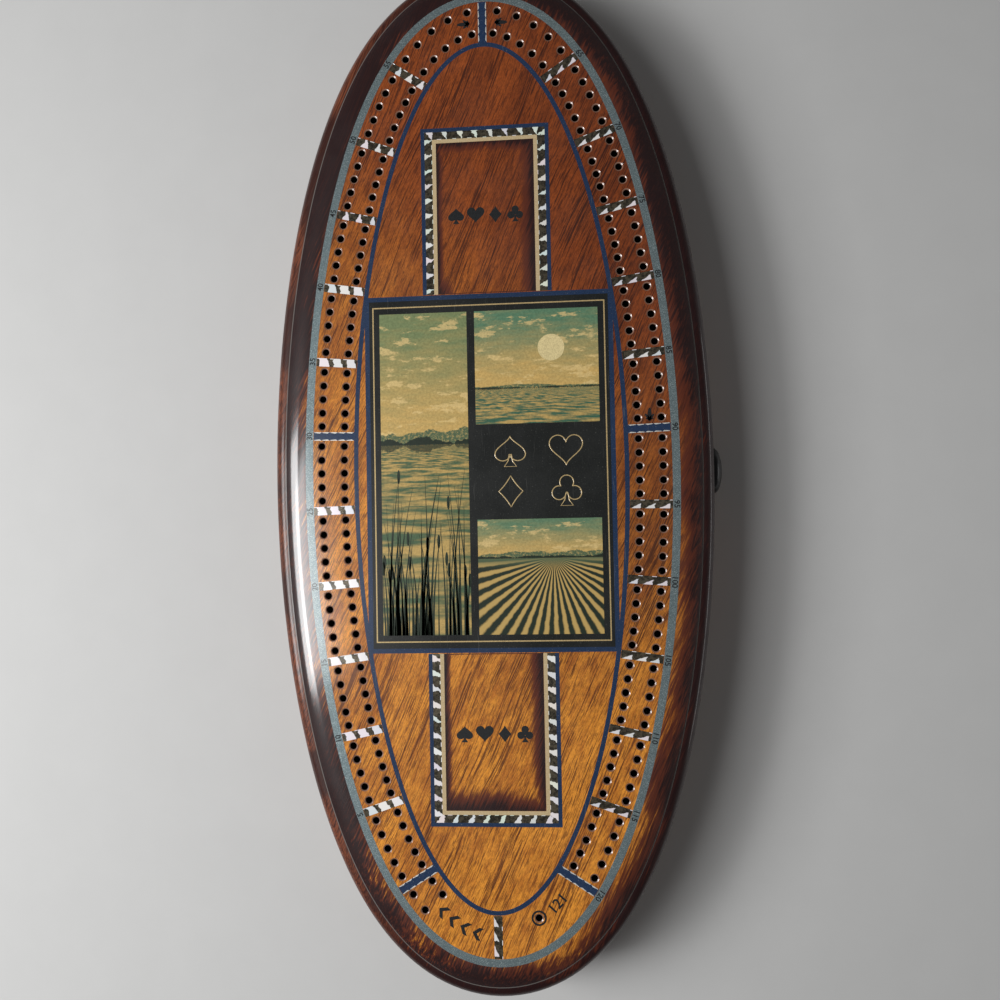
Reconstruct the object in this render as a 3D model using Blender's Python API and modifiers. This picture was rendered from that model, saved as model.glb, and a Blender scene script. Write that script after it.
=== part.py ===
"""Oval cribbage board on a lower case with a card drawer.

A thick oval top carries the peg track: two rows of blind holes on parallel ovals, in
fives between inlaid bars. Under it an oval case holds a drawer for cards and pegs,
which slides out towards +X. +Y points to the end where the track turns half way, +Z is
up, and the origin is the centre of the felt underside. Lengths are in metres.
"""
import bisect
import math

import bmesh
import bpy
from mathutils import Matrix, Vector

MM = 0.001

# Fits
TOUCH_GAP = 0.3 * MM
CUT_OVERRUN = 5.0 * MM
MERGE_DISTANCE = 0.01 * MM

# The blue oval that every other curve of the board runs parallel to
OVAL_HALF_WIDTH = 62.2 * MM
OVAL_HALF_LENGTH = 196.8 * MM
OVAL_LINE_WIDTH = 2.0 * MM
OVAL_STEPS = 64

# Score ring and peg rows, as distances outside that oval
INNER_ROW_OFFSET = 4.5 * MM
OUTER_ROW_OFFSET = 15.0 * MM
RING_OFFSET = 19.0 * MM
RING_WIDTH = 3.5 * MM
BAR_WIDTH = 3.8 * MM

# Peg holes, and how far each group of five runs along the middle of the track
PEG_HOLE_DIAMETER = 3.2 * MM
PEG_HOLE_DEPTH = 11.0 * MM
PEG_HOLE_SIDES = 7
HALFWAY_GROUP_SPAN = 43.6 * MM
SECOND_GROUP_SPAN = 35.6 * MM
LAST_GROUP_SPAN = 35.8 * MM
START_AREA_SPAN = 45.4 * MM
GROUPS_A_SIDE = 12
GROUPS_A_STREET = 6
HOLES_A_GROUP = 5
FIRST_HOLE_SHARE = 0.134
HOLE_PITCH_SHARE = 0.183
START_HOLE_RUN = 4.1 * MM
START_HOLE_PITCH = 8.0 * MM
START_HOLES_A_ROW = 2
HOME_HOLE_RUN = 24.4 * MM
HOME_HOLE_OFFSET = 7.2 * MM

# Inlays in the face, each thin and flush
RING_FILM = 0.6 * MM
BAR_FILM = 0.8 * MM
FRAME_FILM = 1.0 * MM
PANEL_FILM = 1.2 * MM
PANEL_SIDE_MARGIN = 5.8 * MM
PANEL_CORNER_INSET = 0.3 * MM
PANEL_BORDER_WIDTH = 2.1 * MM
FRAME_HALF_WIDTH = 29.3 * MM
FRAME_CORNER_INSET = 8.4 * MM
FRAME_LINE_WIDTH = 2.0 * MM
FRAME_FOIL_WIDTH = 2.6 * MM
FRAME_TRIM_WIDTH = 1.8 * MM

# Edge of the top, from the flat face outwards and down
TOP_THICKNESS = 19.0 * MM
RIM_OFFSET = 38.1 * MM
SHOULDER_OFFSET = 24.6 * MM
SHOULDER_DROP = 2.0 * MM
QUIRK_OFFSET = 32.3 * MM
QUIRK_WIDTH = 0.6 * MM
QUIRK_DROP = 1.0 * MM
OVOLO_DROP = 5.0 * MM
EDGE_ARC_STEPS = 3

# Lower case
CASE_INSET = 2.5 * MM
CASE_HEIGHT = 24.0 * MM
CASE_BACK_WALL = 19.3 * MM
CASE_EDGE_EASE = 0.8 * MM
CASE_BOTTOM_THICKNESS = 4.0 * MM
FELT_THICKNESS = 1.5 * MM
FELT_INSET = 4.0 * MM

# Drawer
DRAWER_WIDTH = 146.0 * MM
DRAWER_SIDE_CLEARANCE = 0.8 * MM
DRAWER_LIFT = 0.5 * MM
DRAWER_HEADROOM = 0.8 * MM
DRAWER_CLOSED_GAP = 0.5 * MM
DRAWER_FRONT_THICKNESS = 17.8 * MM
DRAWER_WALL = 6.0 * MM
DRAWER_FLOOR = 3.0 * MM
DIVIDER_THICKNESS = 4.0 * MM
CARD_BAY_LENGTH = 92.0 * MM
EDGE_EASE = 0.6 * MM

# Strip under the top that the tall drawer back meets when the drawer is out
STOP_STRIP_THICKNESS = 2.5 * MM
STOP_STRIP_WIDTH = 12.0 * MM
STOP_STRIP_LENGTH = 120.0 * MM
STOP_STRIP_SETBACK = 10.0 * MM

# Knob
KNOB_DIAMETER = 21.5 * MM
KNOB_NECK_DIAMETER = 13.0 * MM
KNOB_NECK_LENGTH = 2.6 * MM
KNOB_RIM_LENGTH = 2.2 * MM
KNOB_DOME_LENGTH = 3.7 * MM
KNOB_SIDES = 20
KNOB_ARC_STEPS = 4

# Screws, all countersunk but the knob's
SCREW_DIAMETER = 3.6 * MM
SCREW_HEAD_DIAMETER = 7.2 * MM
SCREW_TIP_LENGTH = 2.0 * MM
SCREW_SIDES = 8
BOTTOM_SCREW_LENGTH = 15.0 * MM
TOP_SCREW_GRIP = 12.0 * MM
TOP_SCREW_RECESS = 1.0 * MM
BOTTOM_SCREW_MARGIN = 20.0 * MM
BOTTOM_SCREW_SPREAD = 120.0 * MM
TOP_SCREW_MARGIN = 45.0 * MM
TOP_SCREW_SPREAD = 60.0 * MM
KNOB_SCREW_HEAD_DIAMETER = 8.0 * MM
KNOB_SCREW_HEAD_LENGTH = 2.4 * MM
KNOB_SCREW_GRIP = 5.0 * MM

# Pegs, loose in the trough behind the drawer front
PEG_LENGTH = 34.0 * MM
PEG_HEAD_DIAMETER = 4.8 * MM
PEG_HEAD_LENGTH = 7.0 * MM
PEG_NECK_DIAMETER = 3.0 * MM
PEG_TIP_DIAMETER = 2.4 * MM
PEG_SIDES = 8
PEG_PITCH = 9.0 * MM
PEG_TROUGH_MARGIN = 12.0 * MM
PEG_END_MARGIN = 14.0 * MM
PEGS_A_COLOUR = 3

# Heights, from the floor up
CASE_BOTTOM_Z = FELT_THICKNESS + TOUCH_GAP
CAVITY_FLOOR_Z = CASE_BOTTOM_Z + CASE_BOTTOM_THICKNESS
CASE_Z = CAVITY_FLOOR_Z + TOUCH_GAP
CASE_TOP_Z = CASE_Z + CASE_HEIGHT
TOP_Z = CASE_TOP_Z + TOUCH_GAP
FACE_Z = TOP_Z + TOP_THICKNESS
STRIP_TOP_Z = TOP_Z - TOUCH_GAP
STRIP_Z = STRIP_TOP_Z - STOP_STRIP_THICKNESS
DRAWER_Z = CAVITY_FLOOR_Z + DRAWER_LIFT
DRAWER_FLOOR_TOP_Z = DRAWER_Z + DRAWER_FLOOR
WALL_Z = DRAWER_FLOOR_TOP_Z + TOUCH_GAP
WALL_TOP_Z = STRIP_Z - DRAWER_HEADROOM
DRAWER_TOP_Z = TOP_Z - DRAWER_HEADROOM
KNOB_Z = (DRAWER_Z + DRAWER_TOP_Z) / 2

# Places along X in the case and drawer
CASE_OFFSET = RIM_OFFSET - CASE_INSET
CASE_HALF_WIDTH = OVAL_HALF_WIDTH + CASE_OFFSET
CHANNEL_BACK_X = CASE_BACK_WALL - CASE_HALF_WIDTH
DRAWER_BACK_X = CHANNEL_BACK_X + DRAWER_CLOSED_GAP
BAY_BACK_X = DRAWER_BACK_X + DRAWER_WALL
FRONT_INNER_X = CASE_HALF_WIDTH - DRAWER_FRONT_THICKNESS
WALL_FRONT_X = FRONT_INNER_X - TOUCH_GAP
BAY_FRONT_X = BAY_BACK_X + CARD_BAY_LENGTH
TROUGH_BACK_X = BAY_FRONT_X + DIVIDER_THICKNESS
STRIP_FRONT_X = FRONT_INNER_X - STOP_STRIP_SETBACK
STRIP_BACK_X = STRIP_FRONT_X - STOP_STRIP_WIDTH
DRAWER_TRAVEL = STRIP_BACK_X - TOUCH_GAP - BAY_BACK_X

# Places along Y
CHANNEL_HALF_WIDTH = DRAWER_WIDTH / 2 + DRAWER_SIDE_CLEARANCE
DRAWER_INNER_HALF_WIDTH = DRAWER_WIDTH / 2 - DRAWER_WALL

# Panel and frames on the face
PANEL_HALF_WIDTH = OVAL_HALF_WIDTH - PANEL_SIDE_MARGIN
PANEL_CORNER_SHARE = PANEL_HALF_WIDTH / (OVAL_HALF_WIDTH - PANEL_CORNER_INSET)
PANEL_HALF_LENGTH = (OVAL_HALF_LENGTH - PANEL_CORNER_INSET) * math.sqrt(1 - PANEL_CORNER_SHARE ** 2)
FRAME_CORNER_SHARE = FRAME_HALF_WIDTH / (OVAL_HALF_WIDTH - FRAME_CORNER_INSET)
FRAME_START = PANEL_HALF_LENGTH + TOUCH_GAP
FRAME_END = (OVAL_HALF_LENGTH - FRAME_CORNER_INSET) * math.sqrt(1 - FRAME_CORNER_SHARE ** 2)
FRAME_FOIL_INSET = FRAME_LINE_WIDTH + TOUCH_GAP
FRAME_TRIM_INSET = FRAME_FOIL_INSET + FRAME_FOIL_WIDTH + TOUCH_GAP
FRAME_BAND = FRAME_TRIM_INSET + FRAME_TRIM_WIDTH

# Colours, as linear red, green and blue shares
BURNT_WOOD_SHARES = (0.20, 0.065, 0.02)
HONEY_WOOD_SHARES = (0.42, 0.19, 0.06)
PALE_PLY_SHARES = (0.58, 0.43, 0.26)
SILVER_SHARES = (0.23, 0.31, 0.31)
BLUE_SHARES = (0.03, 0.09, 0.22)
FOIL_SHARES = (0.45, 0.47, 0.48)
CREAM_SHARES = (0.60, 0.45, 0.22)
BLACK_SHARES = (0.012, 0.012, 0.014)
STEEL_SHARES = (0.55, 0.55, 0.55)
FELT_SHARES = (0.03, 0.11, 0.05)
PEG_LIGHT_SHARES = (0.70, 0.55, 0.33)
PEG_DARK_SHARES = (0.10, 0.03, 0.02)

parts = bpy.data.collections.new("cribbage_board")
cutters = bpy.data.collections.new("cribbage_board_cutters")


def make_material(name, colour, roughness, metallic=0.0):
    """Return a Principled material of one colour."""
    material = bpy.data.materials.new(name)
    material.use_nodes = True
    shader = material.node_tree.nodes["Principled BSDF"]
    shader.inputs["Base Color"].default_value = (*colour, 1.0)
    shader.inputs["Roughness"].default_value = roughness
    shader.inputs["Metallic"].default_value = metallic
    return material


def add_part(name, mesh, material, place=None):
    """Put a mesh among the parts, with its material, and at its place if it has one."""
    part = bpy.data.objects.new(name, mesh)
    if not mesh.materials:
        mesh.materials.append(material)
    if place is not None:
        part.matrix_world = place
    parts.objects.link(part)
    return part


def add_cutter(name, mesh):
    """Put a mesh among the cutters, which are never shown."""
    cutter = bpy.data.objects.new(name, mesh)
    cutter.hide_render = True
    cutter.display_type = "WIRE"
    cutters.objects.link(cutter)
    return cutter


def cut(part, cutter, operation="DIFFERENCE"):
    """Cut a part with a cutter, or keep what the two share."""
    boolean = part.modifiers.new(cutter.name, "BOOLEAN")
    boolean.operation = operation
    boolean.object = cutter


def ease_edges(part, width):
    """Chamfer a part's edges a little."""
    bevel = part.modifiers.new("eased_edges", "BEVEL")
    bevel.width = width
    bevel.segments = 1


def oval_point(angle, offset):
    """Return the point and the outward normal of the oval at a distance outside the blue one.

    The angle runs from the +Y end towards +X.
    """
    sine, cosine = math.sin(angle), math.cos(angle)
    normal = Vector((sine / OVAL_HALF_WIDTH, cosine / OVAL_HALF_LENGTH)).normalized()
    point = Vector((OVAL_HALF_WIDTH * sine, OVAL_HALF_LENGTH * cosine))
    return point + normal * offset, normal


def oval_outline(offset):
    """Return a closed oval as points, anticlockwise from above."""
    turns = [-math.tau * step / OVAL_STEPS for step in range(OVAL_STEPS)]
    return [oval_point(angle, offset)[0] for angle in turns]


def mesh_from(cage, name):
    """Turn a bmesh into a mesh."""
    bmesh.ops.recalc_face_normals(cage, faces=cage.faces)
    mesh = bpy.data.meshes.new(name)
    cage.to_mesh(mesh)
    cage.free()
    return mesh


def oval_loft(name, sections):
    """Loft a closed solid through ovals, given bottom to top as offset and height."""
    cage = bmesh.new()
    rings = []
    for offset, height in sections:
        rings.append([cage.verts.new((x, y, height)) for x, y in oval_outline(offset)])
    for lower, upper in zip(rings, rings[1:]):
        for index in range(OVAL_STEPS):
            after = (index + 1) % OVAL_STEPS
            cage.faces.new((lower[index], lower[after], upper[after], upper[index]))
    cage.faces.new(rings[0])
    cage.faces.new(rings[-1])
    return mesh_from(cage, name)


def eased_oval(name, offset, bottom, top, ease):
    """Loft an oval slab whose upper and lower edges are chamfered."""
    sections = [(offset - ease, bottom), (offset, bottom + ease), (offset, top - ease), (offset - ease, top)]
    return oval_loft(name, sections)


def flat_mesh(name, loops, bottom, top):
    """Fill closed outlines, with later ones as holes, and extrude them between two heights."""
    curve = bpy.data.curves.new(name, "CURVE")
    curve.dimensions = "2D"
    curve.fill_mode = "BOTH"
    curve.extrude = (top - bottom) / 2
    for loop in loops:
        spline = curve.splines.new("POLY")
        spline.points.add(len(loop) - 1)
        spline.use_cyclic_u = True
        for control, (x, y) in zip(spline.points, loop):
            control.co = (x, y, 0, 1)
    outline = bpy.data.objects.new(name, curve)
    cutters.objects.link(outline)
    bpy.context.view_layer.update()
    evaluated = outline.evaluated_get(bpy.context.evaluated_depsgraph_get())
    mesh = bpy.data.meshes.new_from_object(evaluated)
    bpy.data.objects.remove(outline)
    bpy.data.curves.remove(curve)
    cage = bmesh.new()
    cage.from_mesh(mesh)
    bpy.data.meshes.remove(mesh)
    bmesh.ops.remove_doubles(cage, verts=cage.verts, dist=MERGE_DISTANCE)
    bmesh.ops.translate(cage, verts=cage.verts, vec=(0, 0, (bottom + top) / 2))
    return mesh_from(cage, name)


def box_mesh(name, low, high):
    """Return a box between two corners."""
    size = Vector(high) - Vector(low)
    middle = (Vector(high) + Vector(low)) / 2
    cage = bmesh.new()
    bmesh.ops.create_cube(cage, size=1, matrix=Matrix.Translation(middle) @ Matrix.Diagonal((*size, 1)))
    return mesh_from(cage, name)


def turned_mesh(name, profile, steps):
    """Turn a profile of radius and height pairs, top to bottom, about Z."""
    mesh = bpy.data.meshes.new(name)
    points = [(radius, 0, height) for radius, height in profile]
    edges = [(index, index + 1) for index in range(len(points) - 1)]
    mesh.from_pydata(points, edges, [])
    blank = bpy.data.objects.new(name, mesh)
    cutters.objects.link(blank)
    screw = blank.modifiers.new("turn", "SCREW")
    screw.steps = steps
    screw.render_steps = steps
    screw.use_merge_vertices = True
    screw.merge_threshold = MERGE_DISTANCE
    bpy.context.view_layer.update()
    turned = bpy.data.meshes.new_from_object(blank.evaluated_get(bpy.context.evaluated_depsgraph_get()))
    bpy.data.objects.remove(blank)
    bpy.data.meshes.remove(mesh)
    turned.name = name
    return turned


def copies_mesh(name, mesh, places):
    """Join copies of one mesh in a cutter's mesh, one at each place."""
    cage = bmesh.new()
    for place in places:
        start = len(cage.verts)
        cage.from_mesh(mesh)
        cage.verts.ensure_lookup_table()
        bmesh.ops.transform(cage, matrix=place, verts=cage.verts[start:])
    bpy.data.meshes.remove(mesh)
    joined = bpy.data.meshes.new(name)
    cage.to_mesh(joined)
    cage.free()
    return joined


def smooth(part, angle=math.radians(35)):
    """Shade a round part smooth, with its real corners sharp."""
    part.data.shade_smooth()
    part.data.set_sharp_from_angle(angle=angle)


def middle_line_runs():
    """Return how far along the middle of the track each of many even angles lies, from the +Y end."""
    step_count = 4000
    points = [oval_point(math.pi * step / step_count, RING_OFFSET / 2)[0] for step in range(step_count + 1)]
    runs = [0.0]
    for before, after in zip(points, points[1:]):
        runs.append(runs[-1] + (after - before).length)
    return runs


def middle_line_angles(runs):
    """Return the oval angles at given runs along the middle of the track, from the +Y end."""
    line = middle_line_runs()
    return [math.pi * bisect.bisect_left(line, run) / (len(line) - 1) for run in runs]


def bar_runs():
    """Return how far along the track each bar lies, from the halfway bar to the last.

    The first two groups and the last have spans of their own, and the others share the rest.
    """
    first, last = [HALFWAY_GROUP_SPAN, SECOND_GROUP_SPAN], [LAST_GROUP_SPAN]
    rest = middle_line_runs()[-1] - START_AREA_SPAN - sum(first + last)
    count = GROUPS_A_SIDE - len(first + last)
    runs = [0.0]
    for span in first + [rest / count] * count + last:
        runs.append(runs[-1] + span)
    return runs


def hole_runs():
    """Return how far along the track each pair of scoring holes lies, on one side."""
    runs = bar_runs()
    places = []
    for start, end in zip(runs, runs[1:]):
        for index in range(HOLES_A_GROUP):
            places.append(start + (end - start) * (FIRST_HOLE_SHARE + HOLE_PITCH_SHARE * index))
    return places


def peg_hole_places():
    """Return the middle of every peg hole: both streets, the start holes and the home hole."""
    places = []
    rows = (INNER_ROW_OFFSET, OUTER_ROW_OFFSET)
    for angle in middle_line_angles(hole_runs()):
        for row in rows:
            places += [oval_point(side * angle, row)[0] for side in (-1, 1)]
    last_bar = bar_runs()[-1]
    starts = [last_bar + START_HOLE_RUN + START_HOLE_PITCH * index for index in range(START_HOLES_A_ROW)]
    for angle in middle_line_angles(starts):
        places += [oval_point(-angle, row)[0] for row in rows]
    home = middle_line_angles([last_bar + HOME_HOLE_RUN])[0]
    places.append(oval_point(home, HOME_HOLE_OFFSET)[0])
    return places


def track_bars():
    """Return the score, the signed angle and the kind of each bar across the track."""
    bars = []
    halfway = GROUPS_A_SIDE * HOLES_A_GROUP
    for index, angle in enumerate(middle_line_angles(bar_runs())):
        street = index % GROUPS_A_STREET == 0
        for side in (-1, 1) if index else (1,):
            bars.append((halfway + side * index * HOLES_A_GROUP, side * angle, street))
    return bars


def bar_place(angle, inner, outer):
    """Return the middle and the turn of a bar between two distances outside the oval."""
    near, normal = oval_point(angle, inner)
    far = oval_point(angle, outer)[0]
    turn = Matrix.Rotation(math.atan2(normal.y, normal.x), 4, "Z")
    return Matrix.Translation(((near + far) / 2).to_3d()) @ turn


def bar_mesh(name, inner, outer, width, bottom, top):
    """Return a bar across the track as a box about the middle of its length."""
    half_length, half_width = (outer - inner) / 2, width / 2
    return box_mesh(name, (-half_length, -half_width, bottom), (half_length, half_width, top))


def bars_mesh(name, angles, inner, outer, width, bottom, top):
    """Join one bar at each angle in a cutter's mesh."""
    bar = bar_mesh(name, inner, outer, width, bottom, top)
    return copies_mesh(name, bar, [bar_place(angle, inner, outer) for angle in angles])


def band_outline(half_width, end, start, width):
    """Return a three-sided band open towards -Y, with its outer edge given."""
    inner = half_width - width
    near = end - width
    return [(half_width, start), (half_width, end), (-half_width, end), (-half_width, start),
            (-inner, start), (-inner, near), (inner, near), (inner, start)]


def mirrored(outline):
    """Return an outline mirrored in Y."""
    return [(x, -y) for x, y in outline]


def rectangle(half_width, half_length):
    """Return a rectangle about the origin."""
    return [(half_width, half_length), (-half_width, half_length),
            (-half_width, -half_length), (half_width, -half_length)]


def edge_sections():
    """Return the top's sections from its underside to its face, as offset and height."""
    quirk_z = FACE_Z - SHOULDER_DROP - QUIRK_DROP
    ovolo_width = RIM_OFFSET - QUIRK_OFFSET - QUIRK_WIDTH
    shoulder_width = QUIRK_OFFSET - SHOULDER_OFFSET
    sections = [(RIM_OFFSET, TOP_Z)]
    for step in range(EDGE_ARC_STEPS + 1):
        turn = math.pi / 2 * step / EDGE_ARC_STEPS
        offset = RIM_OFFSET - ovolo_width * (1 - math.cos(turn))
        sections.append((offset, quirk_z - OVOLO_DROP * (1 - math.sin(turn))))
    sections.append((QUIRK_OFFSET, quirk_z))
    for step in range(EDGE_ARC_STEPS + 1):
        turn = math.pi / 2 * step / EDGE_ARC_STEPS
        offset = QUIRK_OFFSET - shoulder_width * (1 - math.cos(turn))
        sections.append((offset, FACE_Z - SHOULDER_DROP * (1 - math.sin(turn))))
    return sections


def frame_pocket_loops():
    """Return the outlines of the two frames' pockets, which run into the panel's pocket."""
    pocket = band_outline(FRAME_HALF_WIDTH + TOUCH_GAP, FRAME_END + TOUCH_GAP, PANEL_HALF_LENGTH,
                          FRAME_BAND + 2 * TOUCH_GAP)
    return [pocket, mirrored(pocket)]


def peg_hole_cutter():
    """Return one cutter with a short rod at every peg hole."""
    cage = bmesh.new()
    depth = PEG_HOLE_DEPTH + CUT_OVERRUN
    for x, y in peg_hole_places():
        place = Matrix.Translation((x, y, FACE_Z - PEG_HOLE_DEPTH + depth / 2))
        bmesh.ops.create_cone(cage, cap_ends=True, segments=PEG_HOLE_SIDES, radius1=PEG_HOLE_DIAMETER / 2,
                              radius2=PEG_HOLE_DIAMETER / 2, depth=depth, matrix=place)
    return add_cutter("peg_hole_cutter", mesh_from(cage, "peg_hole_cutter"))


def screw_profile(diameter, head_diameter, length, tip, grow=0.0):
    """Return a countersunk screw's profile, its head down at height zero."""
    radius, head = diameter / 2 + grow, head_diameter / 2 + grow
    head_length = (head_diameter - diameter) / 2
    return [(0, length + grow), (radius, length - tip + grow), (radius, head_length), (head, 0), (0, 0)]


def add_screws(name, length, places, material, cut_parts):
    """Add countersunk screws, heads down, and cut their holes with one cutter."""
    profile = screw_profile(SCREW_DIAMETER, SCREW_HEAD_DIAMETER, length, SCREW_TIP_LENGTH)
    mesh = turned_mesh(name, profile, SCREW_SIDES)
    spots = [Matrix.Translation(place) for place in places]
    for number, spot in enumerate(spots, start=1):
        smooth(add_part(f"{name}_{number}", mesh, material, spot))
    hole = screw_profile(SCREW_DIAMETER, SCREW_HEAD_DIAMETER, length, SCREW_TIP_LENGTH, TOUCH_GAP)
    mouth = hole[-2][0]
    hole[-1:] = [(mouth, -CUT_OVERRUN), (0, -CUT_OVERRUN)]
    cutter_name = name + "_cutter"
    cutter = add_cutter(cutter_name, copies_mesh(cutter_name, turned_mesh(name, hole, SCREW_SIDES), spots))
    for part in cut_parts:
        cut(part, cutter)


def add_playing_top(wood):
    """Add the oval top with its moulded edge, inlay pockets and peg holes."""
    top = add_part("playing_top", oval_loft("playing_top", edge_sections()), wood)
    above = FACE_Z + CUT_OVERRUN
    ring_floor = FACE_Z - RING_FILM - TOUCH_GAP
    bar_floor = FACE_Z - BAR_FILM - TOUCH_GAP
    frame_floor = FACE_Z - FRAME_FILM - TOUCH_GAP
    panel_floor = FACE_Z - PANEL_FILM - TOUCH_GAP
    ring = [oval_outline(RING_OFFSET + RING_WIDTH + TOUCH_GAP), oval_outline(RING_OFFSET - TOUCH_GAP)]
    line = [oval_outline(TOUCH_GAP), oval_outline(-OVAL_LINE_WIDTH - TOUCH_GAP)]
    cut(top, add_cutter("ring_pocket", flat_mesh("ring_pocket", ring, ring_floor, above)))
    cut(top, add_cutter("line_pocket", flat_mesh("line_pocket", line, ring_floor, above)))
    angles = [angle for _, angle, _ in track_bars()] + [math.pi]
    bars = bars_mesh("bar_pockets", angles, 0, RING_OFFSET, BAR_WIDTH + 2 * TOUCH_GAP, bar_floor, above)
    cut(top, add_cutter("bar_pockets", bars))
    panel = [rectangle(PANEL_HALF_WIDTH + TOUCH_GAP, PANEL_HALF_LENGTH + TOUCH_GAP)]
    cut(top, add_cutter("panel_pocket", flat_mesh("panel_pocket", panel, panel_floor, above)))
    frames = flat_mesh("frame_pockets", frame_pocket_loops(), frame_floor, above)
    cut(top, add_cutter("frame_pockets", frames))
    cut(top, peg_hole_cutter())
    return top


def add_track_inlays(silver, blue, foil):
    """Add the score ring, the blue oval line with its street bars, and the foil bars."""
    ring_z = FACE_Z - RING_FILM
    ring = [oval_outline(RING_OFFSET + RING_WIDTH), oval_outline(RING_OFFSET)]
    add_part("score_ring", flat_mesh("score_ring", ring, ring_z, FACE_Z), silver)
    line = [oval_outline(0), oval_outline(-OVAL_LINE_WIDTH)]
    oval = add_part("inner_oval_line", flat_mesh("inner_oval_line", line, ring_z, FACE_Z), blue)
    bar_z = FACE_Z - BAR_FILM
    outer = RING_OFFSET - TOUCH_GAP
    streets = [angle for _, angle, street in track_bars() if street]
    street_bars = bars_mesh("street_bars", streets, -OVAL_LINE_WIDTH / 2, outer, BAR_WIDTH, bar_z, FACE_Z)
    cut(oval, add_cutter("street_bars", street_bars), "UNION")
    foil_bar = bar_mesh("foil_bar", TOUCH_GAP, outer, BAR_WIDTH, bar_z, FACE_Z)
    for score, angle, street in track_bars():
        if not street:
            add_part(f"foil_bar_{score}", foil_bar, foil, bar_place(angle, TOUCH_GAP, outer))
    add_part("foil_bar_end", foil_bar, foil, bar_place(math.pi, TOUCH_GAP, outer))


def add_centre_panel(blue, black):
    """Add the black plate and its blue border, whose corners stop at the oval line."""
    bottom = FACE_Z - PANEL_FILM
    inner_width = PANEL_HALF_WIDTH - PANEL_BORDER_WIDTH
    inner_length = PANEL_HALF_LENGTH - PANEL_BORDER_WIDTH
    loops = [rectangle(PANEL_HALF_WIDTH, PANEL_HALF_LENGTH), rectangle(inner_width, inner_length)]
    border = add_part("centre_border", flat_mesh("centre_border", loops, bottom, FACE_Z), blue)
    inside = oval_outline(-OVAL_LINE_WIDTH - TOUCH_GAP)
    keep = flat_mesh("border_keeper", [inside], bottom - CUT_OVERRUN, FACE_Z + CUT_OVERRUN)
    cut(border, add_cutter("border_keeper", keep), "INTERSECT")
    plate = [rectangle(inner_width - TOUCH_GAP, inner_length - TOUCH_GAP)]
    add_part("centre_plate", flat_mesh("centre_plate", plate, bottom, FACE_Z), black)


def add_frames(blue, foil, cream):
    """Add the crib and deck frames, each a line, a foil and a trim inside one another."""
    bands = (("frame", 0.0, FRAME_LINE_WIDTH, blue),
             ("foil", FRAME_FOIL_INSET, FRAME_FOIL_WIDTH, foil),
             ("trim", FRAME_TRIM_INSET, FRAME_TRIM_WIDTH, cream))
    for kind, inset, width, material in bands:
        outline = band_outline(FRAME_HALF_WIDTH - inset, FRAME_END - inset, FRAME_START, width)
        for place, loop in (("crib", outline), ("deck", mirrored(outline))):
            name = place + "_" + kind
            add_part(name, flat_mesh(name, [loop], FACE_Z - FRAME_FILM, FACE_Z), material)


def add_case(wood, ply, felt):
    """Add the lower case with its drawer channel, the bottom panel and the felt."""
    slab = eased_oval("case_block", CASE_OFFSET, CASE_Z, CASE_TOP_Z, CASE_EDGE_EASE)
    block = add_part("case_block", slab, wood)
    low = (CHANNEL_BACK_X, -CHANNEL_HALF_WIDTH, CASE_Z - CUT_OVERRUN)
    high = (CASE_HALF_WIDTH + CUT_OVERRUN, CHANNEL_HALF_WIDTH, CASE_TOP_Z + CUT_OVERRUN)
    cut(block, add_cutter("drawer_channel", box_mesh("drawer_channel", low, high)))
    panel = eased_oval("case_bottom", CASE_OFFSET, CASE_BOTTOM_Z, CAVITY_FLOOR_Z, CASE_EDGE_EASE)
    bottom = add_part("case_bottom", panel, ply)
    pad = oval_loft("base_felt", [(CASE_OFFSET - FELT_INSET, 0), (CASE_OFFSET - FELT_INSET, FELT_THICKNESS)])
    add_part("base_felt", pad, felt)
    return block, bottom


def add_stop_strip(wood):
    """Add the strip under the top that stops the drawer."""
    half = STOP_STRIP_LENGTH / 2
    mesh = box_mesh("drawer_stop_strip", (STRIP_BACK_X, -half, STRIP_Z), (STRIP_FRONT_X, half, STRIP_TOP_Z))
    add_part("drawer_stop_strip", mesh, wood)


def add_case_screws(steel, top, block, bottom):
    """Add the screws that hold the top and the bottom panel to the case."""
    aside, along = BOTTOM_SCREW_SPREAD / 2, CHANNEL_HALF_WIDTH + BOTTOM_SCREW_MARGIN
    spots = [(x, y, CASE_BOTTOM_Z) for x in (-aside, aside) for y in (-along, along)]
    add_screws("bottom_screw", BOTTOM_SCREW_LENGTH, spots, steel, (bottom, block))
    aside, along = TOP_SCREW_SPREAD / 2, CHANNEL_HALF_WIDTH + TOP_SCREW_MARGIN
    head_z = CASE_Z + TOP_SCREW_RECESS
    length = TOP_Z + TOP_SCREW_GRIP - head_z
    spots = [(x, y, head_z) for x in (-aside, aside) for y in (-along, along)]
    add_screws("top_screw", length, spots, steel, (block, top))


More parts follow.
